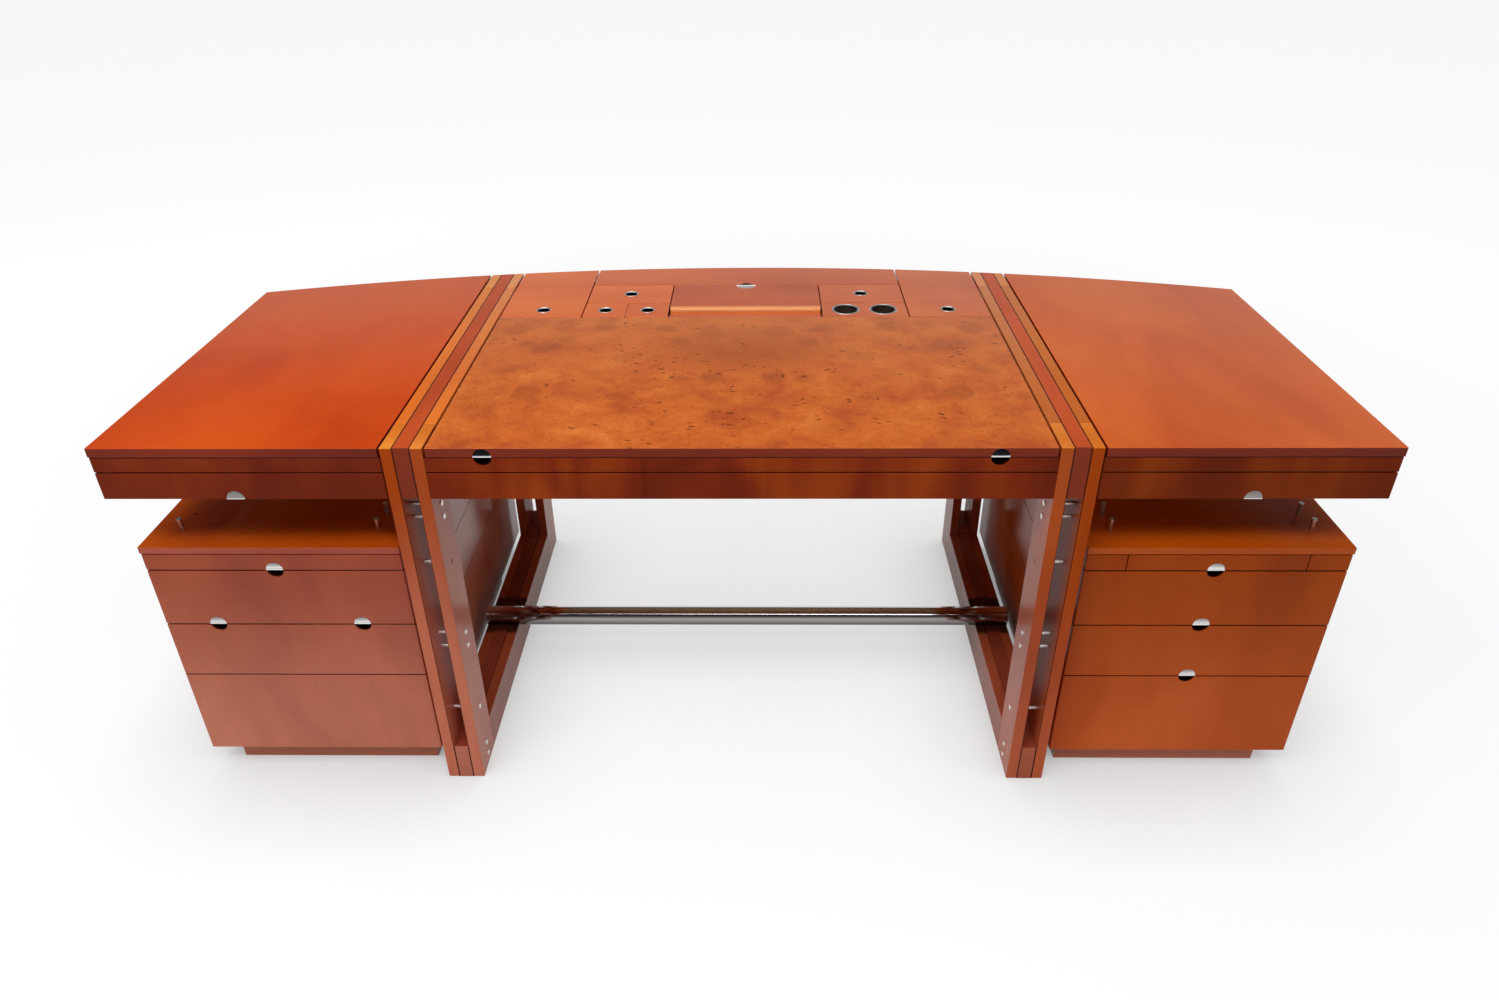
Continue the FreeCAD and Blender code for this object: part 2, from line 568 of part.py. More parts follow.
def wing(side):
    """Top, case and drawer of one wing."""
    name = SIDE_NAME[side] + "_wing"
    x_front, x_end = X_OUT + SEAM, HALF - WING_OVERHANG
    add(name + "_top", eased(bowed_board(side * (X_OUT + SHADOW_GAP), side * HALF, 0, TOP_UNDER, HEIGHT)))
    inset = APRON_INSET + REST_GAP
    x_a, x_b = X_OUT + CASE_BOARD, x_end - CASE_BOARD
    add(name + "_case",
        eased(board(side * x_front, side * x_end, 0, FRONT_BOARD, STRIP_UNDER, TOP_UNDER)),
        bowed_board(side * X_OUT, side * x_a, FRONT_BOARD + PED_FRONT_GAP, ZONE_UNDER, TOP_UNDER, inset),
        bowed_board(side * x_b, side * x_end, FRONT_BOARD + PED_FRONT_GAP, ZONE_UNDER, TOP_UNDER, inset),
        board(side * x_a, side * x_b, FRONT_BOARD, FRONT_BOARD + CASE_BOARD, STRIP_UNDER, TOP_UNDER),
        bowed_skin(side * X_OUT, side * x_end, ZONE_UNDER, TOP_UNDER, BACK_INSET, BACK_BOARD))
    x_pull = side * (HALF - WING_PULL_FROM_END)
    front = eased(board(side * x_front, side * x_end, 0, FRONT_BOARD, ZONE_UNDER, STRIP_UNDER - SEAM))
    z_box = ZONE_UNDER + WING_RUNNER + REST_GAP
    add(name + "_drawer", one(front.cut(pull_hole(x_pull, 0, ZONE_UNDER))),
        *drawer_box(side * (x_a + BOX_CLEAR), side * (x_b - BOX_CLEAR), FRONT_BOARD, WING_BOX_LENGTH,
                    z_box, STRIP_UNDER - SEAM - WING_BOX_TOP_GAP))
    add(name + "_drawer_pull", pull_plate(x_pull, 0, ZONE_UNDER))
    add("drawer_runners", *runners(side * x_a, side * x_b, FRONT_BOARD + PED_FRONT_GAP,
                                   WING_BOX_LENGTH, z_box, WING_RUNNER))


# Pedestals

def pedestal_case(side):
    """Top, case, plinth and studs of one pedestal."""
    name = SIDE_NAME[side] + "_pedestal"
    top = eased(bowed_board(side * (PED_X0 - PED_OVERHANG), side * (PED_X1 + PED_OVERHANG),
                            PED_SET_BACK - PED_OVERHANG, Z_TRAY, Z_PED, PED_BACK_INSET))
    stud_rows = (PED_SET_BACK + STUD_FROM_FRONT, PED_SET_BACK + STUD_FROM_FRONT + STUD_PITCH)
    studs = [(side * x, y) for x in (PED_X0 + STUD_FROM_SIDE, PED_X1 - STUD_FROM_SIDE) for y in stud_rows]
    if side == LEFT:
        x, y = studs.pop()
        top = one(top.cut(rod(STUD_HOLE_RADIUS, V(x, y, Z_PED - STUD_HOLE_DEPTH), V(x, y, Z_PED + OVERRUN))))
    add(name + "_top", top)
    sides = []
    x_faces = (PED_X0 + PED_SIDE_INSET, PED_X1 - PED_SIDE_INSET)
    for x_face, x_back in zip(x_faces, (PED_X0 + PED_BOARD, PED_X1 - PED_BOARD)):
        panel = bowed_board(side * x_face, side * x_back, PED_CASE_FRONT, PED_PLINTH, Z_TRAY, PED_CASE_INSET)
        inward = math.copysign(PED_GROOVE, x_back - x_face)
        for z in (Z_LOWER, Z_MIDDLE, Z_UPPER):
            panel = panel.cut(board(side * (x_face - inward), side * (x_face + inward), 0, DEPTH,
                                    z - PED_GROOVE / 2, z + PED_GROOVE / 2))
        sides.append(one(panel))
    x_a, x_b = PED_X0 + PED_BOARD, PED_X1 - PED_BOARD
    add(name + "_case", *sides,
        bowed_board(side * x_a, side * x_b, PED_CASE_FRONT, PED_PLINTH, PED_PLINTH + PED_BOARD, PED_CASE_INSET),
        bowed_skin(side * x_faces[0], side * x_faces[1], PED_PLINTH, Z_TRAY, PED_BACK_INSET, PED_BOARD))
    p_a, p_b = PED_X0 + PLINTH_INNER, PED_X1 - PLINTH_OUTER
    y_a, y_b = PED_SET_BACK + PLINTH_SET_BACK, END_DEPTH - PLINTH_FROM_BACK
    add("pedestal_plinths",
        board(side * p_a, side * p_b, y_a, y_a + PED_BOARD, 0, PED_PLINTH),
        board(side * p_a, side * p_b, y_b - PED_BOARD, y_b, 0, PED_PLINTH),
        board(side * p_a, side * (p_a + PED_BOARD), y_a + PED_BOARD, y_b - PED_BOARD, 0, PED_PLINTH),
        board(side * (p_b - PED_BOARD), side * p_b, y_a + PED_BOARD, y_b - PED_BOARD, 0, PED_PLINTH))
    for x, y in studs:
        shank = rod(STUD_RADIUS, V(x, y, Z_PED), V(x, y, Z_PED + STUD_HEIGHT))
        cap = rod(STUD_CAP_RADIUS, V(x, y, Z_PED + STUD_HEIGHT - STUD_CAP), V(x, y, Z_PED + STUD_HEIGHT))
        add("pedestal_studs", one(shank.fuse(cap)))


def pedestal_front(side, z0, z1, own_pulls, pulls_above, x0=PED_X0, x1=PED_X1):
    """Front with finger holes for its own pulls below and for the pulls above it."""
    low = z0 + SEAM / 2 if z0 > PED_PLINTH else z0
    high = z1 - SEAM / 2
    front = eased(board(side * x0, side * x1, PED_SET_BACK, PED_BACK_OF_FRONT, low, high))
    for x in own_pulls:
        front = front.cut(pull_hole(side * x, PED_SET_BACK, low))
    for x in pulls_above:
        front = front.cut(pull_hole(side * x, PED_SET_BACK, z1 + SEAM / 2))
    return one(front)


def pedestal_drawer(side, name, z0, z1, own_pulls, pulls_above, groove_z=None):
    """One pedestal drawer with its pulls and runners."""
    front = pedestal_front(side, z0, z1, own_pulls, pulls_above)
    if groove_z is not None:
        front = one(front.cut(board(side * (PED_X0 - OVERRUN), side * (PED_X1 + OVERRUN),
                                    PED_SET_BACK - OVERRUN, PED_SET_BACK + PED_GROOVE,
                                    groove_z - PED_GROOVE / 2, groove_z + PED_GROOVE / 2)))
    x_a, x_b = PED_X0 + PED_BOARD, PED_X1 - PED_BOARD
    z_box = z0 + PED_BOARD + RUNNER + REST_GAP
    add(name, front, *drawer_box(side * (x_a + BOX_CLEAR), side * (x_b - BOX_CLEAR), PED_BACK_OF_FRONT,
                                 PED_BOX_LENGTH, z_box, z1 - PED_BOX_TOP_GAP))
    for x in own_pulls:
        add(name + "_pull", pull_plate(side * x, PED_SET_BACK, z0 + SEAM / 2))
    add("drawer_runners", *runners(side * x_a, side * x_b, PED_CASE_FRONT, PED_BOX_LENGTH, z_box, RUNNER))


def wide_tray(side, name):
    """Pull-out shelf behind a full-width strip."""
    x_a, x_b = PED_X0 + PED_BOARD, PED_X1 - PED_BOARD
    z_tray = Z_UPPER + SEAM + RUNNER + REST_GAP
    add(name, pedestal_front(side, Z_UPPER, Z_TRAY - SEAM / 2, (PED_MID,), ()),
        board(side * (x_a + BOX_CLEAR), side * (x_b - BOX_CLEAR), PED_BACK_OF_FRONT,
              PED_BACK_OF_FRONT + TRAY_LENGTH, z_tray, z_tray + TRAY_BOARD))
    add(name + "_pull", pull_plate(side * PED_MID, PED_SET_BACK, Z_UPPER + SEAM / 2))
    add("drawer_runners", *runners(side * x_a, side * x_b, PED_CASE_FRONT, TRAY_LENGTH, z_tray, RUNNER))


def small_tray(side, name):
    """Pull-out shelf in the middle of a strip, between two fixed ends."""
    x_a, x_b = PED_X0 + SMALL_TRAY_FROM_SIDE, PED_X1 - SMALL_TRAY_FROM_SIDE
    z_tray = Z_UPPER + SEAM + RUNNER + REST_GAP
    shelf_half = (x_b - x_a) / 2 - SMALL_TRAY_IN
    add(name, pedestal_front(side, Z_UPPER, Z_TRAY - SEAM / 2, (PED_MID,), (), x_a, x_b),
        board(side * (PED_MID - shelf_half), side * (PED_MID + shelf_half), PED_BACK_OF_FRONT,
              PED_BACK_OF_FRONT + TRAY_LENGTH, z_tray, z_tray + TRAY_BOARD))
    add(name + "_pull", pull_plate(side * PED_MID, PED_SET_BACK, Z_UPPER + SEAM / 2))
    z_low, z_high = Z_UPPER + SEAM / 2, Z_TRAY - SEAM
    case = SIDE_NAME[side] + "_pedestal_case"
    for x0, x1 in ((PED_X0, x_a - SEAM), (x_b + SEAM, PED_X1)):
        add(case, eased(board(side * x0, side * x1, PED_SET_BACK, PED_CASE_FRONT, z_low, z_high)))
    y1 = PED_CASE_FRONT + TRAY_LENGTH
    guide = shelf_half + TRAY_PLAY
    for out in (LEFT, RIGHT):
        x_g = PED_MID + out * guide
        add("drawer_runners",
            board(side * x_g, side * (x_g + out * TRAY_GUIDE), PED_CASE_FRONT, y1,
                  Z_UPPER + SEAM, Z_TRAY),
            board(side * x_g, side * (x_g - out * TRAY_LEDGE), PED_CASE_FRONT, y1,
                  Z_UPPER + SEAM, z_tray - REST_GAP))


def left_pedestal():
    """Full-width tray, a drawer with two pulls and a tall file drawer."""
    pedestal_case(LEFT)
    twin = (PED_X0 + TWIN_PULL_FROM_SIDE, PED_X1 - TWIN_PULL_FROM_SIDE)
    wide_tray(LEFT, "left_tray")
    pedestal_drawer(LEFT, "left_upper_drawer", Z_MIDDLE, Z_UPPER, twin, (PED_MID,))
    pedestal_drawer(LEFT, "left_file_drawer", PED_PLINTH, Z_MIDDLE, (), twin, Z_LOWER)


def right_pedestal():
    """Narrow tray above three drawers."""
    pedestal_case(RIGHT)
    pull = (PED_MID,)
    small_tray(RIGHT, "right_tray")
    pedestal_drawer(RIGHT, "right_upper_drawer", Z_MIDDLE, Z_UPPER, pull, pull)
    pedestal_drawer(RIGHT, "right_middle_drawer", Z_LOWER, Z_MIDDLE, pull, pull)
    pedestal_drawer(RIGHT, "right_lower_drawer", PED_PLINTH, Z_LOWER, (), pull)


def bore_frames_for_lid_pins():
    """Blind bores in the inner frames' back stiles for the side lids' pins."""
    for side in (LEFT, RIGHT):
        name = SIDE_NAME[side] + "_inner_frame"
        nodes[name] = [one(member.cut(lid_pin_bores())) for member in nodes[name]]


def export():
    """Write one file per sub-part, in the frame whose origin is under the desk's middle."""
    os.makedirs("parts", exist_ok=True)
    for name, solids in nodes.items():
        shape = solids[0] if len(solids) == 1 else Part.makeCompound(solids)
        shape.translate(V(0, -DEPTH / 2, 0))
        shape.exportStep("parts/" + name + ".step")
    print(len(nodes), "sub-parts,", sum(len(solids) for solids in nodes.values()), "solids")


for wing_side in (LEFT, RIGHT):
    side_frame(wing_side)
    wing(wing_side)
    side_lid(wing_side)
footrest()
writing_top()
compartments()
covers()
pencil_board()
flap()
left_pedestal()
right_pedestal()
bore_frames_for_lid_pins()
export()
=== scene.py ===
"""Looks of the kneehole desk: lacquered cherry, burl top and polished steel fittings."""

import math

import bmesh
import bpy
from mathutils import Matrix, Vector


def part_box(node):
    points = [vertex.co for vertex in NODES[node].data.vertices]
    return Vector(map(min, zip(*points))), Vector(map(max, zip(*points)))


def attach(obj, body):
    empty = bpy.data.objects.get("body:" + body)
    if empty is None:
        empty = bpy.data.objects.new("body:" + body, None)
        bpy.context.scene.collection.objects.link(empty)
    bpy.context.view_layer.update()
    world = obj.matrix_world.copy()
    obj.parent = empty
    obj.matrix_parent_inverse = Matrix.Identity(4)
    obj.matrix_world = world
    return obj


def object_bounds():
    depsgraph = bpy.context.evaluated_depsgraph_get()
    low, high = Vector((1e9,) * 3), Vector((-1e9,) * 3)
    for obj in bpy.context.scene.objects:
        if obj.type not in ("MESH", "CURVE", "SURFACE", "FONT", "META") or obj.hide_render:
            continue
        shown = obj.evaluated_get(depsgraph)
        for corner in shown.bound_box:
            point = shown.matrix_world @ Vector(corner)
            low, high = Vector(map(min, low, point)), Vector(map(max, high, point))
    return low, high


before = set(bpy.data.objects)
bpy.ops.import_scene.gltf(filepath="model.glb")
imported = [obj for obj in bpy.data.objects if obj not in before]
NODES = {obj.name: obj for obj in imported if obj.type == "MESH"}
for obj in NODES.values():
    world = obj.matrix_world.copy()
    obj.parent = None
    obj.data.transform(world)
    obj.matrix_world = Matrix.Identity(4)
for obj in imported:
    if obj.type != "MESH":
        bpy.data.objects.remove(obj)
cad_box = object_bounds()
MM = 0.001
FRONT = cad_box[0].y      # sitter's edge
TOP = cad_box[1].z        # writing height

# Across the desk, from its middle
CORE_MIDDLE = 551 * MM    # middle of a side frame's core
CORE_HALF = 14 * MM
GROOVE = 1.3 * MM         # half the width of the painted shade in the groove between a side frame's layers

# Behind the sitter's edge
CORE_SKIN = 1.5 * MM      # front ends of the side frames' cores
WING_FRONT = 18 * MM      # back of a wing drawer's front
DRAWER_FACE = 34 * MM     # face of the pedestals' drawers
DRAWER_FRONT = 52 * MM    # back of a pedestal drawer's front
FRONT_STILE = 88 * MM     # back of the front stiles
BACK_SHEEN = (150 * MM, 800 * MM)        # where the tops begin to pale with painted sheen, and where they are palest
TUBE_SHADOW_MIDDLE = 424 * MM         # middle of the painted shadow and reflection of the tube on the floor rails, either side of it
FLAP_EDGE = (640 * MM, 629 * MM)     # where the painted highlight on the flap's roll begins, and where it is palest
BACK_STILE = 759 * MM     # front of the back stiles
THUMB_AT = 766.5 * MM     # middle of the finger scoop behind the flap

# Above the floor
FRAME_HALF = 0.5 * TOP    # parts the side frames' top rails from their floor rails
FLOOR_RAIL = 76 * MM      # top of the floor rails, which the tube lies in
LEFT_FADE = (680 * MM, 280 * MM)     # where the stiles begin to pale with painted floor light, and where they are palest
RIGHT_FADE = (520 * MM, 80 * MM)
# Painted floor light: where the pedestals' fronts begin to pale, and where they are palest
PEDESTAL_FADE = (520 * MM, 60 * MM)
FRONT_SEAMS = (723 * MM, 695 * MM)   # under the tops, and over the drawers and the apron
PEDESTAL_SEAMS = (511 * MM, 475 * MM, 354 * MM, 234 * MM)

# Sizes
PULL = 15.3 * MM          # radius of the half-round pulls
SCOOP = 15.7 * MM         # radius of the finger scoops behind them
SCOOP_SHADE = (1 * MM, 4 * MM)       # how deep in a scoop its painted shade begins, and where it is full
THUMB = 12.5 * MM         # radius of the painted shade in and round the scoop behind the flap
TUBE_SHADOW_REACH = (72 * MM, 58 * MM)    # how far from its middle the rails' painted shadow begins, and where it is full
RAIL_EASE = 7 * MM        # how far it runs above and below the rails' tops
SEAM_LINE = 1.2 * MM      # half the height of a seam's painted shade, its eased edges with it
FACE_VENEER = 0.8 * MM    # what the tops' face tone covers of their edges
SAWN_END = 1 * MM         # depth of the stiles' sawn ends
BOX_GAP = 0.1 * MM        # keeps the back of a drawer's front in the front's own tone
CUP_DEPTH = 17 * MM
RING_DEPTH = 11 * MM
BEAD = 1.1 * MM           # roll of the steel rims
BEAD_SINK = 0.5 * MM      # how far a bead's middle lies below the writing height

# Figure of the veneer: across and along the grain, in mm
BANDS = (90, 900)
CLOUDS = (230, 420)
PORES = (1.5, 42)         # 0.3 mm wide on the real veneer, and drawn wider so that they show

# Figure of the burl
SLICE = (3.1, 3.1 + 22 * MM)         # where the two leaves lie in the log, the right one 22 mm deeper
SWIRL = 55 * MM
SWIRL_BEND = 45 * MM
PATCH = 95 * MM
CURL = 13 * MM
ROSETTE = 78 * MM         # spacing of the rosettes
ROSETTE_DEPTH = (60 * MM, 330 * MM)  # behind the sitter's edge: where they are faint, and where strong
EYE_AT = 405 * MM         # behind the sitter's edge
EYE = (190 * MM, 110 * MM)
PIN = (19 * MM, 11 * MM, 22 * MM)    # spacing of the pins
PIN_GROUP = 90 * MM

# Figure of the steel
BRUSH_RUN = 60            # length of the brush lines, in mm
SMUDGE = 25 * MM          # width of the smudges that hands leave

# How strong
CLOUDED = 0.14            # usual spread of a veneer's tones
BACK_SHEEN_SHARE = 0.55       # how strong the painted sheen on the tops' backs is
FRAME_GLOSS = 0.24        # roughness of the side frames' rubbed lacquer
BIRCH_GLOSS = 0.45
SIDE_ON = 0.85            # a normal's lean past which a face is a layer's side, and not its edge
LEVEL = 0.5               # a normal's rise past which a face is a top

# Veneer: light, middle and dark tone
RED_CHERRY = ("#d7530c", "#ce4a0d", "#c2420f")
ORANGE_CHERRY = ("#dd6a28", "#d46022", "#c8561f")
TOP_EDGE = ("#8f2e0c", "#83260a", "#741f08")
# The left fronts are a little lighter than the right ones, as painted light falling from the left; their hues
# differ as the veneers do
LEFT_FRONT = ("#993f10", "#862f11", "#762610")
MIDDLE_FRONT = ("#a6440f", "#872d0b", "#661e08")
RIGHT_FRONT = ("#903b07", "#802d05", "#702405")
LEFT_ROW = ("#ea762e", "#e06a28", "#d46024")
RIGHT_ROW = ("#d86c30", "#ce6028", "#c25624")
FLAP_CHERRY = ("#cc5e26", "#c25422", "#b44a1e")
# Painted highlight on the flap's rolled front edge, paler than the flap
FLAP_ROLL_HIGHLIGHT = ("#f2a264", "#ec985a", "#e28c50")
ROW_RAIL = ("#d8682c", "#ce5e26", "#c25422")
# The left pedestal's tones and its top's front edge are pinker than the right's: painted reflection of the
# white floor
LEFT_PEDESTAL = ("#b85028", "#aa4522", "#9a3c1e")
RIGHT_PEDESTAL = ("#b24c06", "#a84405", "#9a3c05")
SHELF = ("#cc5c0c", "#c4540a", "#b84a0a")
LEFT_SHELF_EDGE = ("#ce6852", "#c25e48", "#b0523c")
# Pedestals' fronts paler near the floor: painted light, the white floor's bounce and reflection
LEFT_LOW = ("#e08668", "#d67c5e", "#c87056")
RIGHT_LOW = ("#dc6930", "#d46127", "#c85720")
CORE_CHERRY = ("#cc5520", "#c24d1c", "#b44519")
# The cores' foot and lower front ends, duller and pinker, the left end most: painted light, the white floor's
# reflection
CORE_FOOT = ("#9e4c38", "#954430", "#873a28")
CORE_FRONT = ("#963716", "#8c3112", "#80290f")
LEFT_CORE_END = ("#d08069", "#c87660", "#bc6a54")
RIGHT_CORE_END = ("#c06a4a", "#b86040", "#ac5638")
PLINTH = ("#da8866", "#d07c5a", "#c26e4e")
STILE = ("#bc5214", "#b24910", "#a6400e")
# Stiles paler and pinker near the floor: painted light, the white floor's bounce and reflection; the left ones
# lighter still, as painted light falling from the left
LEFT_FOOT = ("#e2896c", "#da7f62", "#ce7356")
RIGHT_FOOT = ("#d06c48", "#c8623e", "#bc5834")
STILE_END = ("#ea9038", "#e1822e", "#d27024")
LEFT_RAIL = ("#ec822f", "#e47829", "#d86c25")
RIGHT_RAIL = ("#ca6c2a", "#c06226", "#b25822")
LOW_RAIL = ("#be6142", "#b25838", "#a34c30")
BURL_EDGE = ("#96360c", "#8a2e0a", "#7c2608")
BIRCH = ("#d8b88c", "#cba877", "#b99261")

# Burl: its ground by patch, its marks and the paler tone of its painted sheen towards the back
BURL_GROUND = ((0.34, "#bb562b"), (0.46, "#cb652b"), (0.56, "#d46e2d"), (0.70, "#dd7d38"))
BURL_ROSETTE = "#95431d"
BURL_EYE = "#9c471d"
BURL_PIN = "#5c2710"
SHEEN_BURL = "#d07844"

# Painted sheen on the tops' backs, and painted shade in the scoops, seams and grooves, behind the flap and
# round the tube
SHEEN_WING = "#d2693e"
SHEEN_END = "#e29a6c"
SHEEN_RAIL = "#d98a58"
SCOOP_PAINTED_SHADE = "#160805"
SEAM_PAINTED_SHADE = "#44170d"
GROOVE_PAINTED_SHADE = "#3a1208"
THUMB_PAINTED_SHADE = "#4a1006"
TUBE_PAINTED_SHADOW = "#50261c"

# Steel: colour by height on the piece; on the pulls, rings, cups and tube it is painted shade, reflection and
# highlight
# Pulls darker towards their tops: painted shade of the recess that they sit in
PLATE = ((0.0, "#fbfbfa"), (0.20, "#f2f2f0"), (0.55, "#b9b8b7"), (1.0, "#6f6c6a"))
WING_PLATE = ((0.0, "#dddbd9"), (0.12, "#d4d2d0"), (0.20, "#98948f"), (1.0, "#7a7572"))
# Writing top's pulls dark with a bright lip: painted shade in their recess, and a painted highlight along the
# lip
DARK_PLATE = ((0.0, "#e9e9e8"), (0.14, "#e2e2e1"), (0.20, "#202124"), (1.0, "#0e0f11"))
FLAP_PLATE = ((0.0, "#fbfaf9"), (1.0, "#fbfaf9"))
# Rings dark below the rim: painted shade in the bore
RIM = ((0.0, "#0e0e10"), (0.88, "#16171a"), (0.94, "#cfcecc"), (1.0, "#dddcda"))
# Cups brown-grey inside, darker towards the mouth: the darkening is painted shade
CUP = ((0.0, "#c4b5a6"), (0.70, "#a4968a"), (0.90, "#8c8078"), (0.95, "#cfcdca"), (1.0, "#dddcda"))
ROLLED_BEAD = ((0.0, "#d6d5d3"), (1.0, "#d6d5d3"))
# Tube in light and dark bands up its height: painted reflections and shade
TUBE = ((0.20, "#6e6866"), (0.28, "#625d5b"), (0.40, "#868180"), (0.50, "#98928f"), (0.60, "#a8a2a0"),
        (0.68, "#8e8785"), (0.73, "#757070"), (0.80, "#a39b9d"), (0.86, "#978d90"), (0.92, "#9c9096"),
        (0.98, "#eae2e6"))
TIE = ((0.0, "#f4f2f0"), (1.0, "#f4f2f0"))
STUD = ((0.0, "#d2d1cf"), (1.0, "#d2d1cf"))
# Hinge pins dark: painted shade of the seam that they sit in
HINGE_PIN = ((0.0, "#45413d"), (1.0, "#3b3835"))

# Studio: strengths as shares of white, distances in metres
FLOOR_HALF = 20
FLOOR_BOUNCE = 0.85       # floor as it throws light back
FLOOR_SHADED = 0.27       # part of the seen floor that takes the lamps' light, and so the desk's shadow
FLOOR_WHITE = 0.78        # rest of the seen floor, near the desk
FLOOR_FAR = 0.92          # and far from it
FLOOR_RANGE = (1.0, 4.0)
FOOT_SHADE = 0.30         # reach of the soft shade where the desk stands
FOOT_SHADE_WHITE = 0.35   # what that shade leaves of the white
BACKDROP = ((0.10, 0.94), (0.22, 0.80), (0.32, 0.52), (0.45, 0.07))   # by the rise above the horizon
BACKDROP_LEAN = -0.10     # it darkens a little sooner on the left
AMBIENT = 0.06

# Camera fit: pixels of a frame 1499 wide, radians, and metres from the sitter's edge and the floor
SENSOR = 36
PHOTO_WIDTH = 1499
FOCAL = 1037.77
MIDDLE = 746.31
YAW, TILT, ROLL = -0.0168, 0.5464, -0.0090
CAMERA_ACROSS, CAMERA_BEFORE, CAMERA_HEIGHT = 0.0336, 1.4701, 1.5365


# Colours and nodes

def tone(hex_value):
    """sRGB hex to linear colour."""
    parts = [int(hex_value[i:i + 2], 16) / 255 for i in (1, 3, 5)]
    return tuple(p / 12.92 if p <= 0.04045 else ((p + 0.055) / 1.055) ** 2.4 for p in parts) + (1.0,)


def put(tree, kind, inputs=None, **settings):
    """Add one node with its settings; an input is a value, or a socket to link from."""
    made = tree.nodes.new(kind)
    for key, value in settings.items():
        if key == "stops":
            while len(made.color_ramp.elements) < len(value):
                made.color_ramp.elements.new(0.5)
            for element, (at, colour) in zip(made.color_ramp.elements, value):
                element.position, element.color = at, colour
        else:
            setattr(made, key, value)
    for key, value in (inputs or {}).items():
        if isinstance(value, bpy.types.NodeSocket):
            tree.links.new(value, made.inputs[key])
        else:
            made.inputs[key].default_value = value
    return made


def blank(name):
    """New material: itself, its tree, its shader and the piece's own coordinates."""
    mat = bpy.data.materials.new(name)
    mat.use_nodes = True
    tree = mat.node_tree
    place = put(tree, "ShaderNodeTexCoord").outputs["Object"]
    return mat, tree, tree.nodes["Principled BSDF"], place


def grey(value):
    """Neutral colour for a mask or a shade."""
    return (value, value, value, 1.0)


def stretch(grain, across_mm, along_mm):
    """Pattern scale that is drawn out along the grain's axis."""
    across, along = 1 / (across_mm * MM), 1 / (along_mm * MM)
    return tuple(along if axis == grain else across for axis in "XYZ")


# Wood

def veneer_colour(tree, place, tones, grain, seed, spread=CLOUDED):
    """Colour, pores and clouds of stained veneer, whose figure runs along the grain's axis.

    The smaller the spread, the stronger the clouds.
    """
    light, mid, dark = (tone(h) for h in tones)
    shifted = put(tree, "ShaderNodeMapping", {"Vector": place, "Location": (seed, 0.7 * seed, 0.3 * seed)})
    shifted = shifted.outputs["Vector"]
    bands_at = put(tree, "ShaderNodeMapping", {"Vector": shifted, "Scale": stretch(grain, *BANDS)})
    bands = put(tree, "ShaderNodeTexNoise", {"Vector": bands_at.outputs["Vector"], "Scale": 1.0,
                                             "Detail": 3.0, "Distortion": 0.5}).outputs["Fac"]
    clouds_at = put(tree, "ShaderNodeMapping", {"Vector": shifted, "Scale": stretch(grain, *CLOUDS)})
    clouds = put(tree, "ShaderNodeTexNoise", {"Vector": clouds_at.outputs["Vector"], "Scale": 1.0,
                                              "Detail": 2.5, "Distortion": 0.5}).outputs["Fac"]
    mixed = put(tree, "ShaderNodeMix", {"Factor": 0.25, "A": clouds, "B": bands}).outputs["Result"]
    colour = put(tree, "ShaderNodeValToRGB", {"Fac": mixed},
                 stops=((0.50 - spread, dark), (0.50, mid), (0.50 + spread, light))).outputs["Color"]
    pores_at = put(tree, "ShaderNodeMapping", {"Vector": shifted, "Scale": stretch(grain, *PORES)})
    pores = put(tree, "ShaderNodeTexNoise", {"Vector": pores_at.outputs["Vector"], "Scale": 1.0,
                                             "Detail": 2.0}).outputs["Fac"]
    shade = put(tree, "ShaderNodeValToRGB", {"Fac": pores},
                stops=((0.34, (0.95, 0.93, 0.91, 1.0)), (0.56, grey(1.0)))).outputs["Color"]
    colour = put(tree, "ShaderNodeMix", {"Factor": 1.0, "A": colour, "B": shade},
                 data_type="RGBA", blend_type="MULTIPLY").outputs["Result"]
    return colour, pores, clouds


def lacquered(tree, shader, colour, pores, clouds, gloss=0.15, shine=0.4):
    """Satin lacquer over wood: a low even gloss, with pores that just show through it."""
    rough = put(tree, "ShaderNodeMapRange", {"Value": clouds, "From Min": 0.3, "From Max": 0.7,
                                             "To Min": gloss - 0.03, "To Max": gloss + 0.05}).outputs["Result"]
    skin = put(tree, "ShaderNodeBump", {"Height": pores, "Strength": 0.12, "Distance": 0.12 * MM})
    tree.links.new(colour, shader.inputs["Base Color"])
    tree.links.new(rough, shader.inputs["Roughness"])
    tree.links.new(skin.outputs["Normal"], shader.inputs["Normal"])
    shader.inputs["Specular IOR Level"].default_value = shine


def beyond(tree, place, axis, limit):
    """Mask of what lies past a plane across an axis."""
    along = put(tree, "ShaderNodeSeparateXYZ", {"Vector": place}).outputs[axis]
    return put(tree, "ShaderNodeMath", {0: along, 1: limit}, operation="GREATER_THAN").outputs["Value"]


def fading(tree, place, axis, start, end):
    """Mask that rises softly from one height or depth to another."""
    along = put(tree, "ShaderNodeSeparateXYZ", {"Vector": place}).outputs[axis]
    return put(tree, "ShaderNodeMapRange", {"Value": along, "From Min": start, "From Max": end},
               interpolation_type="SMOOTHSTEP").outputs["Result"]


def joined(tree, mask, inside, outside):
    """Two woods that meet at a glue line, or wood and a tone laid over part of it, such as the burl's marks,
    and the painted shade, sheen and highlights.
    """
    return put(tree, "ShaderNodeMix", {"Factor": mask, "A": outside, "B": inside},
               data_type="RGBA").outputs["Result"]


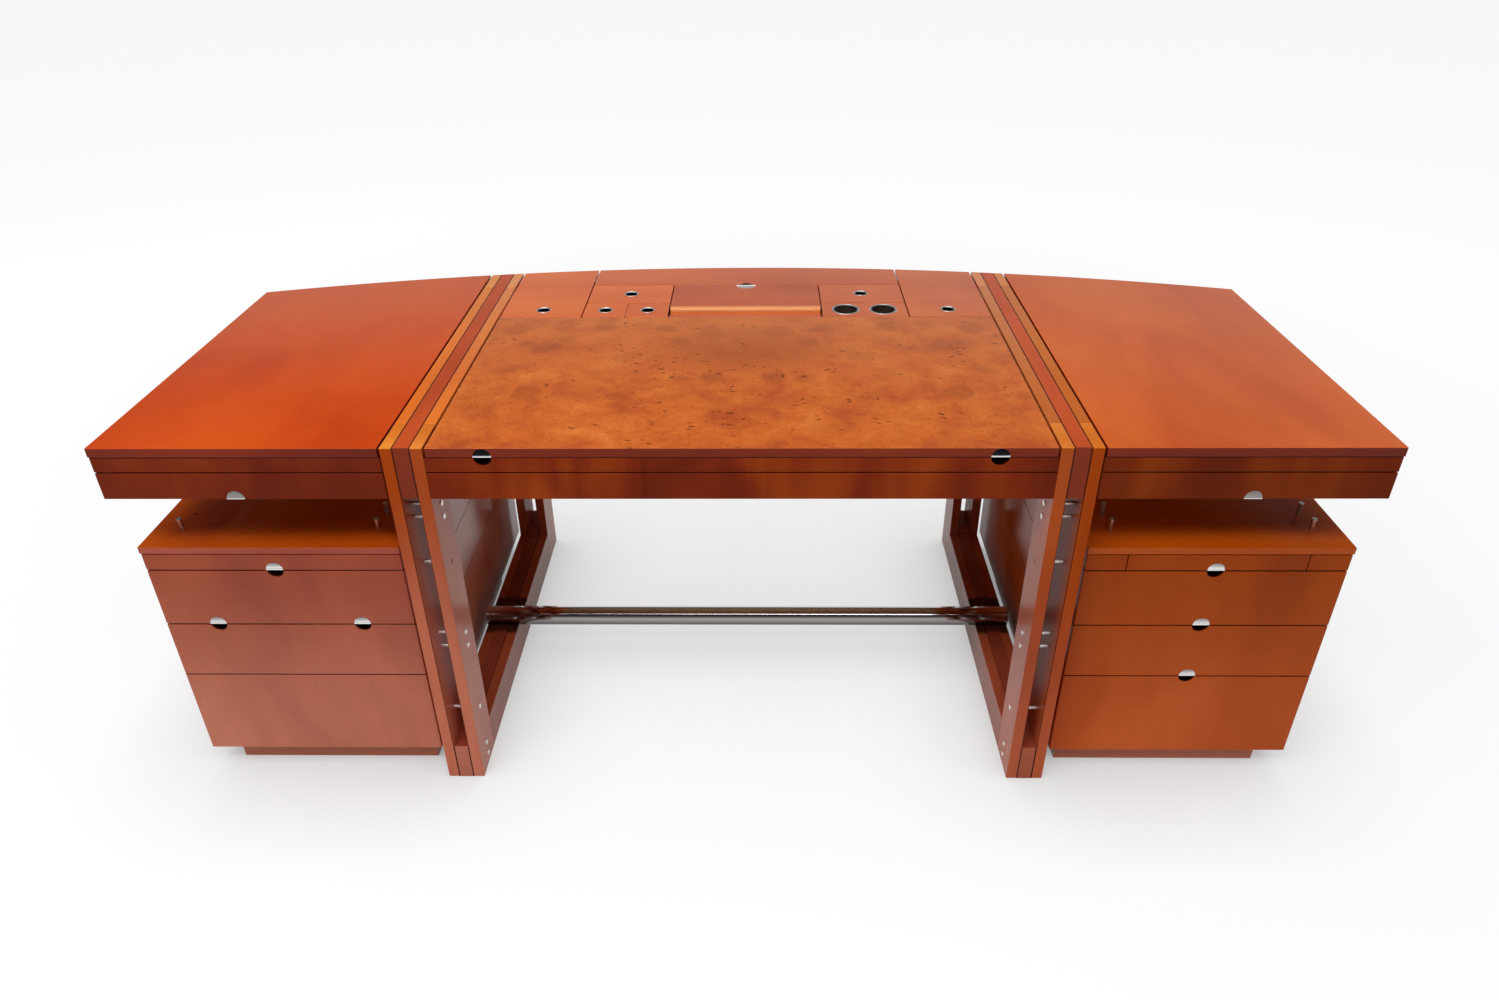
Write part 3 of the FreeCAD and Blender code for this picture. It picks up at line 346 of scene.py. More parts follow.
def paint_scoop_shade(tree, place, pulls, face, colour):
    """Painted shade deep in the finger scoops round the pulls, behind a front's face: they are coloured dark.
    """
    flat = put(tree, "ShaderNodeVectorMath", {0: place, 1: (1.0, 0.0, 1.0)},
               operation="MULTIPLY").outputs["Vector"]
    nearest = None
    for x, z in pulls:
        apart = put(tree, "ShaderNodeVectorMath", {0: flat, 1: (x, 0.0, z)},
                    operation="DISTANCE").outputs["Value"]
        if nearest is not None:
            apart = put(tree, "ShaderNodeMath", {0: apart, 1: nearest}, operation="MINIMUM").outputs["Value"]
        nearest = apart
    near = put(tree, "ShaderNodeMath", {0: nearest, 1: SCOOP}, operation="LESS_THAN").outputs["Value"]
    behind = fading(tree, place, "Y", *(face + depth for depth in SCOOP_SHADE))
    inside = put(tree, "ShaderNodeMath", {0: near, 1: behind}, operation="MULTIPLY").outputs["Value"]
    return joined(tree, inside, tone(SCOOP_PAINTED_SHADE), colour)


def paint_seam_shade(tree, place, heights, colour):
    """Painted shade in the seams between fronts that stand one above the other: they are coloured dark."""
    up = put(tree, "ShaderNodeSeparateXYZ", {"Vector": place}).outputs["Z"]
    mask = None
    for height in heights:
        near = put(tree, "ShaderNodeMath", {0: up, 1: height, 2: SEAM_LINE},
                   operation="COMPARE").outputs["Value"]
        if mask is not None:
            near = put(tree, "ShaderNodeMath", {0: near, 1: mask}, operation="MAXIMUM").outputs["Value"]
        mask = near
    return joined(tree, mask, tone(SEAM_PAINTED_SHADE), colour)


def back_sheen_mask(tree, place):
    """Mask of the painted sheen on the tops, the backdrop's reflection, from near the sitter's edge to the
    back.
    """
    back = fading(tree, place, "Y", *(FRONT + depth for depth in BACK_SHEEN))
    return put(tree, "ShaderNodeMath", {0: back, 1: BACK_SHEEN_SHARE}, operation="MULTIPLY").outputs["Value"]


def cherry(name, tones, grain, seed, box_from=None, edge=None, face=TOP, shine=0.4, low=None, scoops=None,
           seams=None, back_sheen=None, spread=CLOUDED):
    """Cherry veneer, stained red-orange and lacquered: soft clouds under an even satin gloss.

    box_from is how far behind the sitter's edge a drawer's front ends and its pale birch box begins.
    edge is the stain of a top's banded edges, below its face, and face the height of that face.
    low is the paler tone near the floor: painted light, the white floor's bounce and reflection.
    scoops are the pulls' centres and the face that they are let into, and seams the heights of seams; both are
    painted dark as shade.
    The tone for a top's back is a paler painted sheen, the backdrop's reflection, and spread is as in
    veneer_colour.
    """
    mat, tree, shader, place = blank(name)
    colour, pores, clouds = veneer_colour(tree, place, tones, grain, seed, spread)
    if back_sheen is not None:
        # Painted sheen towards the back: the backdrop's reflection
        colour = joined(tree, back_sheen_mask(tree, place), tone(back_sheen), colour)
    if low is not None:
        # Painted floor light: paler towards the floor
        paler, _, _ = veneer_colour(tree, place, low, grain, seed)
        colour = joined(tree, fading(tree, place, "Z", *PEDESTAL_FADE), paler, colour)
    if seams is not None:
        colour = paint_seam_shade(tree, place, seams, colour)
    if scoops is not None:
        colour = paint_scoop_shade(tree, place, *scoops, colour)
    if box_from is not None:
        box, _, _ = veneer_colour(tree, place, BIRCH, "Y", seed + 5)
        colour = joined(tree, beyond(tree, place, "Y", FRONT + box_from + BOX_GAP), box, colour)
    if edge is not None:
        band, _, _ = veneer_colour(tree, place, edge, "X", seed + 5)
        colour = joined(tree, beyond(tree, place, "Z", face - FACE_VENEER), colour, band)
    lacquered(tree, shader, colour, pores, clouds, shine=shine)
    return mat


def paint_groove_shade(tree, place, colour):
    """Painted shade in the grooves where the side frames' three layers meet, on the faces that show the layers'
    edges.

    The floor rails' tops have none.
    """
    across = put(tree, "ShaderNodeSeparateXYZ", {"Vector": place}).outputs["X"]
    across = put(tree, "ShaderNodeMath", {0: across}, operation="ABSOLUTE").outputs["Value"]
    across = put(tree, "ShaderNodeMath", {0: across, 1: CORE_MIDDLE}, operation="SUBTRACT").outputs["Value"]
    across = put(tree, "ShaderNodeMath", {0: across}, operation="ABSOLUTE").outputs["Value"]
    groove = put(tree, "ShaderNodeMath", {0: across, 1: CORE_HALF, 2: GROOVE},
                 operation="COMPARE").outputs["Value"]
    facing = put(tree, "ShaderNodeTexCoord").outputs["Normal"]
    facing = put(tree, "ShaderNodeSeparateXYZ", {"Vector": facing})
    sideways = put(tree, "ShaderNodeMath", {0: facing.outputs["X"]}, operation="ABSOLUTE").outputs["Value"]
    edge = put(tree, "ShaderNodeMath", {0: sideways, 1: SIDE_ON}, operation="LESS_THAN").outputs["Value"]
    level = put(tree, "ShaderNodeMath", {0: facing.outputs["Z"], 1: LEVEL},
                operation="LESS_THAN").outputs["Value"]
    shown = put(tree, "ShaderNodeMath", {0: level, 1: beyond(tree, place, "Z", FRAME_HALF)},
                operation="MAXIMUM").outputs["Value"]
    edge = put(tree, "ShaderNodeMath", {0: edge, 1: shown}, operation="MULTIPLY").outputs["Value"]
    mask = put(tree, "ShaderNodeMath", {0: groove, 1: edge}, operation="MULTIPLY").outputs["Value"]
    return joined(tree, mask, tone(GROOVE_PAINTED_SHADE), colour)


def flap_highlight_cherry(name):
    """Cherry of the flap, with a painted highlight: paler along the roll of its front edge."""
    mat, tree, shader, place = blank(name)
    colour, pores, clouds = veneer_colour(tree, place, FLAP_CHERRY, "X", 6.0)
    highlight, _, _ = veneer_colour(tree, place, FLAP_ROLL_HIGHLIGHT, "X", 6.0)
    roll = fading(tree, place, "Y", *(FRONT + depth for depth in FLAP_EDGE))
    colour = joined(tree, roll, highlight, colour)
    lacquered(tree, shader, colour, pores, clouds)
    return mat


def thumb_shaded_cherry(name):
    """Cherry of the row's nose strip and back rail, with painted shade in and round the finger scoop behind the
    flap.
    """
    mat, tree, shader, place = blank(name)
    colour, pores, clouds = veneer_colour(tree, place, ROW_RAIL, "X", 6.0)
    apart = put(tree, "ShaderNodeVectorMath", {0: place, 1: (1.0, 1.0, 0.0)},
                operation="MULTIPLY").outputs["Vector"]
    apart = put(tree, "ShaderNodeVectorMath", {0: apart, 1: (0.0, FRONT + THUMB_AT, 0.0)},
                operation="DISTANCE").outputs["Value"]
    near = put(tree, "ShaderNodeMath", {0: apart, 1: THUMB}, operation="LESS_THAN").outputs["Value"]
    lacquered(tree, shader, joined(tree, near, tone(THUMB_PAINTED_SHADE), colour), pores, clouds)
    return mat


def paint_tube_shadow(tree, place, colour):
    """Painted shadow and reflection of the tube: dark on the floor rails' tops, either side of the tube that
    lies in them.
    """
    begins, full = TUBE_SHADOW_REACH
    apart = put(tree, "ShaderNodeSeparateXYZ", {"Vector": place})
    along = put(tree, "ShaderNodeMath", {0: apart.outputs["Y"], 1: FRONT + TUBE_SHADOW_MIDDLE},
                operation="SUBTRACT").outputs["Value"]
    along = put(tree, "ShaderNodeMath", {0: along}, operation="ABSOLUTE").outputs["Value"]
    near = put(tree, "ShaderNodeMapRange", {"Value": along, "From Min": begins, "From Max": full},
               interpolation_type="SMOOTHSTEP").outputs["Result"]
    low = put(tree, "ShaderNodeMath", {0: apart.outputs["Z"], 1: FLOOR_RAIL, 2: RAIL_EASE},
              operation="COMPARE").outputs["Value"]
    mask = put(tree, "ShaderNodeMath", {0: near, 1: low}, operation="MULTIPLY").outputs["Value"]
    return joined(tree, mask, tone(TUBE_PAINTED_SHADOW), colour)


def frame_wood(name, top_rail, low, fade, seed, shine):
    """Golden cherry of the side frames: upright stiles at both ends, long rails between them.

    The stiles' grain is upright, their sawn ends show paler on top, and the rails' grain runs front to back.
    The floor rails are redder than the top rails. The stiles grow paler towards the floor, as painted light
    from the white floor, and the tops of the frames towards the back, as painted sheen.
    """
    mat, tree, shader, place = blank(name)
    stile, pores, clouds = veneer_colour(tree, place, STILE, "Z", seed)
    foot, _, _ = veneer_colour(tree, place, low, "Z", seed)
    # Painted floor light: the stiles paler towards the floor
    stile = joined(tree, fading(tree, place, "Z", *fade), foot, stile)
    sawn, _, _ = veneer_colour(tree, place, STILE_END, "X", seed + 1)
    rail, _, _ = veneer_colour(tree, place, top_rail, "Y", seed + 3)
    # Painted sheen towards the back of the frames' tops: the backdrop's reflection
    back_sheen = back_sheen_mask(tree, place)
    sawn = joined(tree, back_sheen, tone(SHEEN_END), sawn)
    rail = joined(tree, back_sheen, tone(SHEEN_RAIL), rail)
    low_rail, _, _ = veneer_colour(tree, place, LOW_RAIL, "Y", seed + 4)
    stile = joined(tree, beyond(tree, place, "Z", TOP - SAWN_END), sawn, stile)
    rail = joined(tree, beyond(tree, place, "Z", FRAME_HALF), rail, low_rail)
    before = joined(tree, beyond(tree, place, "Y", FRONT + FRONT_STILE), rail, stile)
    colour = joined(tree, beyond(tree, place, "Y", FRONT + BACK_STILE), stile, before)
    # Painted shade in the grooves, and painted shadow and reflection of the tube on the floor rails.
    colour = paint_tube_shadow(tree, place, paint_groove_shade(tree, place, colour))
    lacquered(tree, shader, colour, pores, clouds, FRAME_GLOSS, shine)
    return mat


def core_wood(name):
    """Red-brown cherry of the side frames' middle layer, duller and pinker at the floor: painted light, the
    white floor's reflection.
    """
    mat, tree, shader, place = blank(name)
    top, pores, clouds = veneer_colour(tree, place, CORE_CHERRY, "Y", 4.0)
    foot, _, _ = veneer_colour(tree, place, CORE_FOOT, "Y", 4.0)
    front, _, _ = veneer_colour(tree, place, CORE_FRONT, "Z", 4.0)
    left_end, _, _ = veneer_colour(tree, place, LEFT_CORE_END, "X", 4.0)
    right_end, _, _ = veneer_colour(tree, place, RIGHT_CORE_END, "X", 4.0)
    end = joined(tree, beyond(tree, place, "X", 0.0), right_end, left_end)
    behind = beyond(tree, place, "Y", FRONT + CORE_SKIN)
    top = joined(tree, behind, top, front)
    foot = joined(tree, behind, foot, end)
    # Painted floor light: the lower half duller and pinker
    colour = joined(tree, beyond(tree, place, "Z", FRAME_HALF), top, foot)
    # Painted shade in the grooves, and painted shadow and reflection of the tube on the floor rails.
    colour = paint_tube_shadow(tree, place, paint_groove_shade(tree, place, colour))
    lacquered(tree, shader, colour, pores, clouds, FRAME_GLOSS, shine=0.14)
    return mat


def burl(name):
    """Burl veneer, two leaves opened like a book about the middle seam, lacquered.

    Orange ground with soft patches, red-brown rosettes towards the back, a dark eye on the seam,
    fine swirling curls, and small dark pins in loose groups.
    """
    mat, tree, shader, place = blank(name)
    apart = put(tree, "ShaderNodeSeparateXYZ", {"Vector": place})
    mirrored = put(tree, "ShaderNodeMath", {0: apart.outputs["X"]}, operation="ABSOLUTE").outputs["Value"]
    # The two leaves lie at different depths of the log, so they are alike but not the same.
    depth = put(tree, "ShaderNodeMapRange", {"Value": beyond(tree, place, "X", 0.0), "To Min": SLICE[0],
                                             "To Max": SLICE[1]}).outputs["Result"]
    leaf = put(tree, "ShaderNodeCombineXYZ", {"X": mirrored, "Y": apart.outputs["Y"],
                                              "Z": depth}).outputs["Vector"]
    flow = put(tree, "ShaderNodeTexNoise", {"Vector": leaf, "Scale": 1 / SWIRL, "Detail": 3.0}).outputs["Color"]
    flow = put(tree, "ShaderNodeVectorMath", {0: flow, 1: (0.5, 0.5, 0.5)},
               operation="SUBTRACT").outputs["Vector"]
    flow = put(tree, "ShaderNodeVectorMath", {0: flow, "Scale": SWIRL_BEND},
               operation="SCALE").outputs["Vector"]
    bent = put(tree, "ShaderNodeVectorMath", {0: leaf, 1: flow}, operation="ADD").outputs["Vector"]
    patches = put(tree, "ShaderNodeTexNoise", {"Vector": bent, "Scale": 1 / PATCH, "Detail": 6.0,
                                               "Roughness": 0.66, "Distortion": 0.3}).outputs["Fac"]
    colour = put(tree, "ShaderNodeValToRGB", {"Fac": patches},
                 stops=[(at, tone(hue)) for at, hue in BURL_GROUND]).outputs["Color"]
    # Curls are hairs 2 to 5 mm wide that swirl round the rosettes.
    curls = put(tree, "ShaderNodeTexNoise", {"Vector": bent, "Scale": 1 / CURL, "Detail": 5.0,
                                             "Roughness": 0.66, "Distortion": 1.6}).outputs["Fac"]
    broken = put(tree, "ShaderNodeMath", {0: curls, 1: 0.9, 2: -0.45},
                 operation="MULTIPLY_ADD").outputs["Value"]
    # Rosettes are round, 12 to 60 mm wide, broken up by the curls, and strongest towards the back.
    cells = put(tree, "ShaderNodeTexVoronoi", {"Vector": bent, "Scale": 1 / ROSETTE}, voronoi_dimensions="2D")
    draw = put(tree, "ShaderNodeSeparateColor", {"Color": cells.outputs["Color"]})
    size = put(tree, "ShaderNodeMapRange", {"Value": draw.outputs["Red"], "To Min": 0.02,
                                            "To Max": 0.46}).outputs["Result"]
    reach = put(tree, "ShaderNodeMath", {0: size, 1: cells.outputs["Distance"]},
                operation="SUBTRACT").outputs["Value"]
    reach = put(tree, "ShaderNodeMath", {0: broken, 1: 0.95, 2: reach},
                operation="MULTIPLY_ADD").outputs["Value"]
    rosettes = put(tree, "ShaderNodeMapRange", {"Value": reach, "From Min": -0.05,
                                                "From Max": 0.14}).outputs["Result"]
    # Growth rings about 6 mm apart wind round each rosette.
    rings = put(tree, "ShaderNodeMath", {0: cells.outputs["Distance"], 1: 82.0},
                operation="MULTIPLY").outputs["Value"]
    rings = put(tree, "ShaderNodeMath", {0: broken, 1: 26.0, 2: rings},
                operation="MULTIPLY_ADD").outputs["Value"]
    rings = put(tree, "ShaderNodeMath", {0: rings}, operation="SINE").outputs["Value"]
    rings = put(tree, "ShaderNodeMapRange", {"Value": rings, "From Min": -1.0, "From Max": 1.0,
                                             "To Min": 0.55, "To Max": 1.0}).outputs["Result"]
    rosettes = put(tree, "ShaderNodeMath", {0: rosettes, 1: rings}, operation="MULTIPLY").outputs["Value"]
    deep = put(tree, "ShaderNodeMapRange", {"Value": draw.outputs["Green"], "To Min": 0.30,
                                            "To Max": 0.80}).outputs["Result"]
    faint, strong = (FRONT + behind for behind in ROSETTE_DEPTH)
    back = put(tree, "ShaderNodeMapRange", {"Value": apart.outputs["Y"], "From Min": faint, "From Max": strong,
                                            "To Min": 0.25, "To Max": 1.0}).outputs["Result"]
    deep = put(tree, "ShaderNodeMath", {0: deep, 1: back}, operation="MULTIPLY").outputs["Value"]
    rosettes = put(tree, "ShaderNodeMath", {0: rosettes, 1: deep}, operation="MULTIPLY").outputs["Value"]
    colour = joined(tree, rosettes, tone(BURL_ROSETTE), colour)
    # A broad dark eye lies across the middle seam, two thirds of the way back.
    eye = put(tree, "ShaderNodeMapping", {"Vector": leaf,
                                          "Location": (0.0, -(FRONT + EYE_AT), 0.0)}).outputs["Vector"]
    eye = put(tree, "ShaderNodeVectorMath", {0: eye, 1: (1 / EYE[0], 1 / EYE[1], 0.0)},
              operation="MULTIPLY").outputs["Vector"]
    eye = put(tree, "ShaderNodeVectorMath", {0: eye}, operation="LENGTH").outputs["Value"]
    eye = put(tree, "ShaderNodeMath", {0: patches, 1: -2.4, 2: eye}, operation="MULTIPLY_ADD").outputs["Value"]
    eye = put(tree, "ShaderNodeMapRange", {"Value": eye, "From Min": -0.75, "From Max": -0.15,
                                           "To Min": 0.55, "To Max": 0.0}).outputs["Result"]
    colour = joined(tree, eye, tone(BURL_EYE), colour)
    shade = put(tree, "ShaderNodeValToRGB", {"Fac": curls},
                stops=((0.34, (0.80, 0.70, 0.62, 1.0)), (0.50, (0.95, 0.93, 0.91, 1.0)),
                       (0.62, grey(1.0)))).outputs["Color"]
    colour = put(tree, "ShaderNodeMix", {"Factor": 0.85, "A": colour, "B": shade},
                 data_type="RGBA", blend_type="MULTIPLY").outputs["Result"]
    # Pins are dashes 3 to 9 mm long and 1 to 3 mm wide, about 20 mm apart where they gather.
    pins_at = put(tree, "ShaderNodeMapping", {"Vector": bent, "Scale": tuple(1 / gap for gap in PIN)})
    spots = put(tree, "ShaderNodeTexVoronoi", {"Vector": pins_at.outputs["Vector"], "Scale": 1.0})
    groups = put(tree, "ShaderNodeTexNoise", {"Vector": leaf, "Scale": 1 / PIN_GROUP,
                                              "Detail": 2.5}).outputs["Fac"]
    lot = put(tree, "ShaderNodeSeparateColor", {"Color": spots.outputs["Color"]}).outputs["Red"]
    lot = put(tree, "ShaderNodeMath", {0: lot, 1: 0.40, 2: -0.19}, operation="MULTIPLY_ADD").outputs["Value"]
    lot = put(tree, "ShaderNodeMath", {0: lot, 1: groups}, operation="ADD").outputs["Value"]
    reach = put(tree, "ShaderNodeMapRange", {"Value": lot, "From Min": 0.50, "From Max": 0.72,
                                             "To Min": 0.0, "To Max": 0.33}).outputs["Result"]
    inside = put(tree, "ShaderNodeMath", {0: reach, 1: spots.outputs["Distance"]}, operation="SUBTRACT")
    pin = put(tree, "ShaderNodeMapRange", {"Value": inside.outputs["Value"], "From Min": 0.0, "From Max": 0.10,
                                           "To Min": 0.0, "To Max": 0.75}).outputs["Result"]
    colour = joined(tree, pin, tone(BURL_PIN), colour)
    # Painted sheen towards the back: the backdrop's reflection
    colour = joined(tree, back_sheen_mask(tree, place), tone(SHEEN_BURL), colour)
    band, _, _ = veneer_colour(tree, place, BURL_EDGE, "X", 4.0)
    colour = joined(tree, beyond(tree, place, "Z", TOP - FACE_VENEER), colour, band)
    lacquered(tree, shader, colour, curls, patches, shine=0.14)
    return mat


def birch(name, grain):
    """Plain birch of the hidden woodwork, thinly sealed: pale, with a dull sheen."""
    mat, tree, shader, place = blank(name)
    colour, pores, clouds = veneer_colour(tree, place, BIRCH, grain, 2.0)
    lacquered(tree, shader, colour, pores, clouds, BIRCH_GLOSS)
    return mat


# Metal

def satin_steel(name, tones, z_low=0.0, z_high=1.0, gloss=0.26, line=0.8):
    """Stainless steel, drawn out in fine lines along X and handled: streaky, soft reflections.

    tones are (share of the height from z_low to z_high, colour) pairs; on the pulls, rings, cups and tube they
    are painted
    shade, reflection and highlight: a recess and a bore are painted dark.
    gloss is its roughness. line is the brush lines' spacing in mm: 0.1 on the real steel, and drawn coarser
    so that they show.
    """
    mat, tree, shader, place = blank(name)
    lines_at = put(tree, "ShaderNodeMapping", {"Vector": place, "Scale": stretch("X", line, BRUSH_RUN)})
    lines = put(tree, "ShaderNodeTexNoise", {"Vector": lines_at.outputs["Vector"], "Scale": 1.0,
                                             "Detail": 3.0}).outputs["Fac"]
    smudge = put(tree, "ShaderNodeTexNoise", {"Vector": place, "Scale": 1 / SMUDGE,
                                              "Detail": 2.0}).outputs["Fac"]
    both = put(tree, "ShaderNodeMix", {"Factor": 0.5, "A": lines, "B": smudge}).outputs["Result"]
    rough = put(tree, "ShaderNodeMapRange", {"Value": both, "From Min": 0.3, "From Max": 0.7,
                                             "To Min": 0.7 * gloss, "To Max": 1.4 * gloss}).outputs["Result"]
    up = put(tree, "ShaderNodeSeparateXYZ", {"Vector": place}).outputs["Z"]
    up = put(tree, "ShaderNodeMapRange", {"Value": up, "From Min": z_low, "From Max": z_high}).outputs["Result"]
    colour = put(tree, "ShaderNodeValToRGB", {"Fac": up},
                 stops=[(at, tone(hue)) for at, hue in tones]).outputs["Color"]
    shade = put(tree, "ShaderNodeValToRGB", {"Fac": lines},
                stops=((0.3, grey(0.86)), (0.7, grey(1.0)))).outputs["Color"]
    base = put(tree, "ShaderNodeMix", {"Factor": 1.0, "A": colour, "B": shade},
               data_type="RGBA", blend_type="MULTIPLY").outputs["Result"]
    skin = put(tree, "ShaderNodeBump", {"Height": lines, "Strength": 0.08, "Distance": 0.05 * MM})
    tree.links.new(base, shader.inputs["Base Color"])
    tree.links.new(rough, shader.inputs["Roughness"])
    tree.links.new(skin.outputs["Normal"], shader.inputs["Normal"])
    shader.inputs["Metallic"].default_value = 1.0
    return mat


# Pieces

def pull_places(*names):
    """Centres of the pulls across and up, of the nodes that this desk has; a node holds one pull or two."""
    places = set()
    for name in names:
        if name in NODES:
            low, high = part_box(name)
            places |= {(round(x, 4), round(low.z, 4)) for x in (low.x + PULL, high.x - PULL)}
    return sorted(places)


def rim_bead(name, body, x, y, radius, finish):
    """Rolled steel rim round a ring's or a cup's mouth."""
    form = bmesh.new()
    turned = Matrix.Translation((x + radius, y, TOP - BEAD_SINK)) @ Matrix.Rotation(math.pi / 2, 4, "X")
    bmesh.ops.create_circle(form, segments=12, radius=BEAD, matrix=turned)
    bmesh.ops.spin(form, geom=form.verts[:] + form.edges[:], cent=(x, y, 0.0), axis=(0.0, 0.0, 1.0),
                   angle=2 * math.pi, steps=48, use_merge=True)
    bmesh.ops.recalc_face_normals(form, faces=form.faces)
    for face in form.faces:
        face.smooth = True
    mesh = bpy.data.meshes.new(name)
    form.to_mesh(mesh)
    form.free()
    bead = bpy.data.objects.new(name, mesh)
    bpy.context.scene.collection.objects.link(bead)
    mesh.materials.append(finish)
    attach(bead, body)


def rims():
    """A bead round every finger ring and both pencil cups."""
    finish = satin_steel("bead_steel", ROLLED_BEAD, gloss=0.3)
    for name in sorted(NODES):
        if name.endswith("_ring"):
            low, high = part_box(name)
            middle = (low + high) / 2
            radius = (high.x - low.x) / 2 - BEAD
            rim_bead(name + "_bead", name[:-len("_ring")], middle.x, middle.y, radius, finish)
    low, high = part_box("pencil_cups")
    rim = (high.y - low.y) / 2
    for place, x in (("inner", low.x + rim), ("outer", high.x - rim)):
        rim_bead("pencil_cup_bead_" + place, "desk", x, (low.y + high.y) / 2, rim - BEAD, finish)


def dress():
    """Give every node its finish."""
    tube_low, tube_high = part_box("footrest_tube")
    finishes = {
        "writing_top": burl("burl_veneer"),
        # Painted reflections and shade in bands up the tube's height
        "footrest_tube": satin_steel("polished_steel_tube", TUBE, tube_low.z, tube_high.z, gloss=0.07,
                                     line=1.0),
        "frame_core_rails": core_wood("core_cherry"),
        "pedestal_plinths": cherry("plinth_cherry", PLINTH, "X", seed=6.0, shine=0.3),
        "frame_plugs": cherry("plug_cherry", CORE_FRONT, "X", seed=7.0, shine=0.1),
        "frame_ties": satin_steel("tie_steel", TIE, gloss=0.36),
        "flap": flap_highlight_cherry("flap_cherry"),
        "row_fixed_boards": thumb_shaded_cherry("row_rail_cherry"),
        # Cups darker inside towards the mouth: painted shade
        "pencil_cups": satin_steel("cup_steel", CUP, TOP - CUP_DEPTH, TOP, gloss=0.3),
        "pedestal_studs": satin_steel("satin_steel", STUD),
        # Hinge pins coloured dark as painted shade
        "lid_hinge_pins": satin_steel("dark_pin_steel", HINGE_PIN, gloss=0.3),
        "flap_pull": satin_steel("bright_plate_steel", FLAP_PLATE, gloss=0.4),
        "centre_compartments": birch("birch_across", "X"),
    }
    finishes["drawer_runners"] = finishes["writing_top_battens"] = birch("birch_along", "Y")
    # Rings dark below the rim: painted shade in the bore
    ring = satin_steel("ring_steel", RIM, TOP - RING_DEPTH, TOP)
    frames = {}
    for layer, shine in (("inner", 0.125), ("outer", 0.03)):
        frames["left_" + layer] = frame_wood("left_%s_frame_cherry" % layer, LEFT_RAIL, LEFT_FOOT,
                                             LEFT_FADE, seed=1.0, shine=shine)
        frames["right_" + layer] = frame_wood("right_%s_frame_cherry" % layer, RIGHT_RAIL, RIGHT_FOOT,
                                              RIGHT_FADE, seed=9.0, shine=shine)
    wing_top = {"left": cherry("left_wing_cherry", RED_CHERRY, "Y", seed=3.0, edge=TOP_EDGE, shine=0.15,
                               back_sheen=SHEEN_WING),
                "right": cherry("right_wing_cherry", ORANGE_CHERRY, "Y", seed=12.0, edge=TOP_EDGE, shine=0.16)}
    # Veneer, seed and spread of the fronts under the tops
    fronts = {"left": (LEFT_FRONT, 4.3, 0.10),
              "centre": (MIDDLE_FRONT, 7.4, 0.09),
              "right": (RIGHT_FRONT, 9.6, 0.10)}
    case = {side: cherry(side + "_case_cherry", stain, "Z", seed, shine=0.05, seams=FRONT_SEAMS, spread=spread,
                         scoops=(pull_places("writing_top_pulls"), FRONT))
            for side, (stain, seed, spread) in fronts.items()}
    wing_drawer = {side: cherry(side + "_wing_drawer_cherry", stain, "Z", seed, WING_FRONT, shine=0.05,
                                seams=FRONT_SEAMS, spread=spread,
                                scoops=(pull_places(side + "_wing_drawer_pull"), FRONT))
                   for side, (stain, seed, spread) in fronts.items() if side != "centre"}
    pedestal = {}
    drawer = {}
    for side, stain, low, seed, shine in (("left", LEFT_PEDESTAL, LEFT_LOW, 5.0, 0.26),
                                          ("right", RIGHT_PEDESTAL, RIGHT_LOW, 8.0, 0.07)):
        pulls = pull_places(side + "_tray_pull", side + "_upper_drawer_pull", side + "_middle_drawer_pull")
        pedestal[side] = cherry(side + "_pedestal_cherry", stain, "Z", seed, shine=shine, low=low)
        drawer[side] = cherry(side + "_drawer_cherry", stain, "Z", seed, DRAWER_FRONT, shine=shine, low=low,
                              seams=PEDESTAL_SEAMS, scoops=(pulls, FRONT + DRAWER_FACE))
    shelf = {side: cherry(side + "_pedestal_top_cherry", SHELF, "X", seed=11.0, edge=edge, shine=0.15,
                          face=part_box(side + "_pedestal_top")[1].z)
             for side, edge in (("left", LEFT_SHELF_EDGE), ("right", SHELF))}
    row = {side: [cherry("%s_row_cherry_%d" % (side, i), stain, "X", 2.0 + 3 * i) for i in range(3)]
           for side, stain in (("left", LEFT_ROW), ("right", RIGHT_ROW), ("pencil", RIGHT_ROW))}
    for count, (name, obj) in enumerate(sorted(NODES.items())):
        side = name.split("_")[0]
        if name in finishes:
            finish = finishes[name]
        elif name.endswith(("_pull", "_pulls")):
            low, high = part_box(name)
            # Pulls coloured by height: painted shade, and on the writing top's pulls a painted highlight on the
            # lip
            plate = DARK_PLATE if name == "writing_top_pulls" else WING_PLATE if "_wing_" in name else PLATE
            finish = satin_steel(name + "_steel", plate, low.z, high.z)
        elif name.endswith("_ring"):
            finish = ring
        elif name.endswith("_frame"):
            finish = frames[name[:-len("_frame")]]
        elif name.endswith("_wing_top"):
            finish = wing_top[side]
        elif name.endswith("_wing_drawer"):
            finish = wing_drawer[side]
        elif name.endswith(("_drawer", "_tray")):
            finish = drawer[side]
        elif name.endswith("_pedestal_top"):
            finish = shelf[side]
        elif "_pedestal_" in name:
            finish = pedestal[side]
        elif name.endswith(("_lid", "_cover", "_outer", "_inner", "pencil_board")):
            finish = row[side][count % 3]
        else:
            finish = case[side]
        obj.data.materials.clear()
        obj.data.materials.append(finish)


# Stage, light and camera

def looked_at(tree):
    """Mask of the rays that show the background: straight, in gloss or through glass."""
    rays = put(tree, "ShaderNodeLightPath")
    seen = put(tree, "ShaderNodeMath", {0: rays.outputs["Is Camera Ray"], 1: rays.outputs["Is Glossy Ray"]},
               operation="MAXIMUM").outputs["Value"]
    return put(tree, "ShaderNodeMath", {0: seen, 1: rays.outputs["Is Transmission Ray"]},
               operation="MAXIMUM").outputs["Value"]


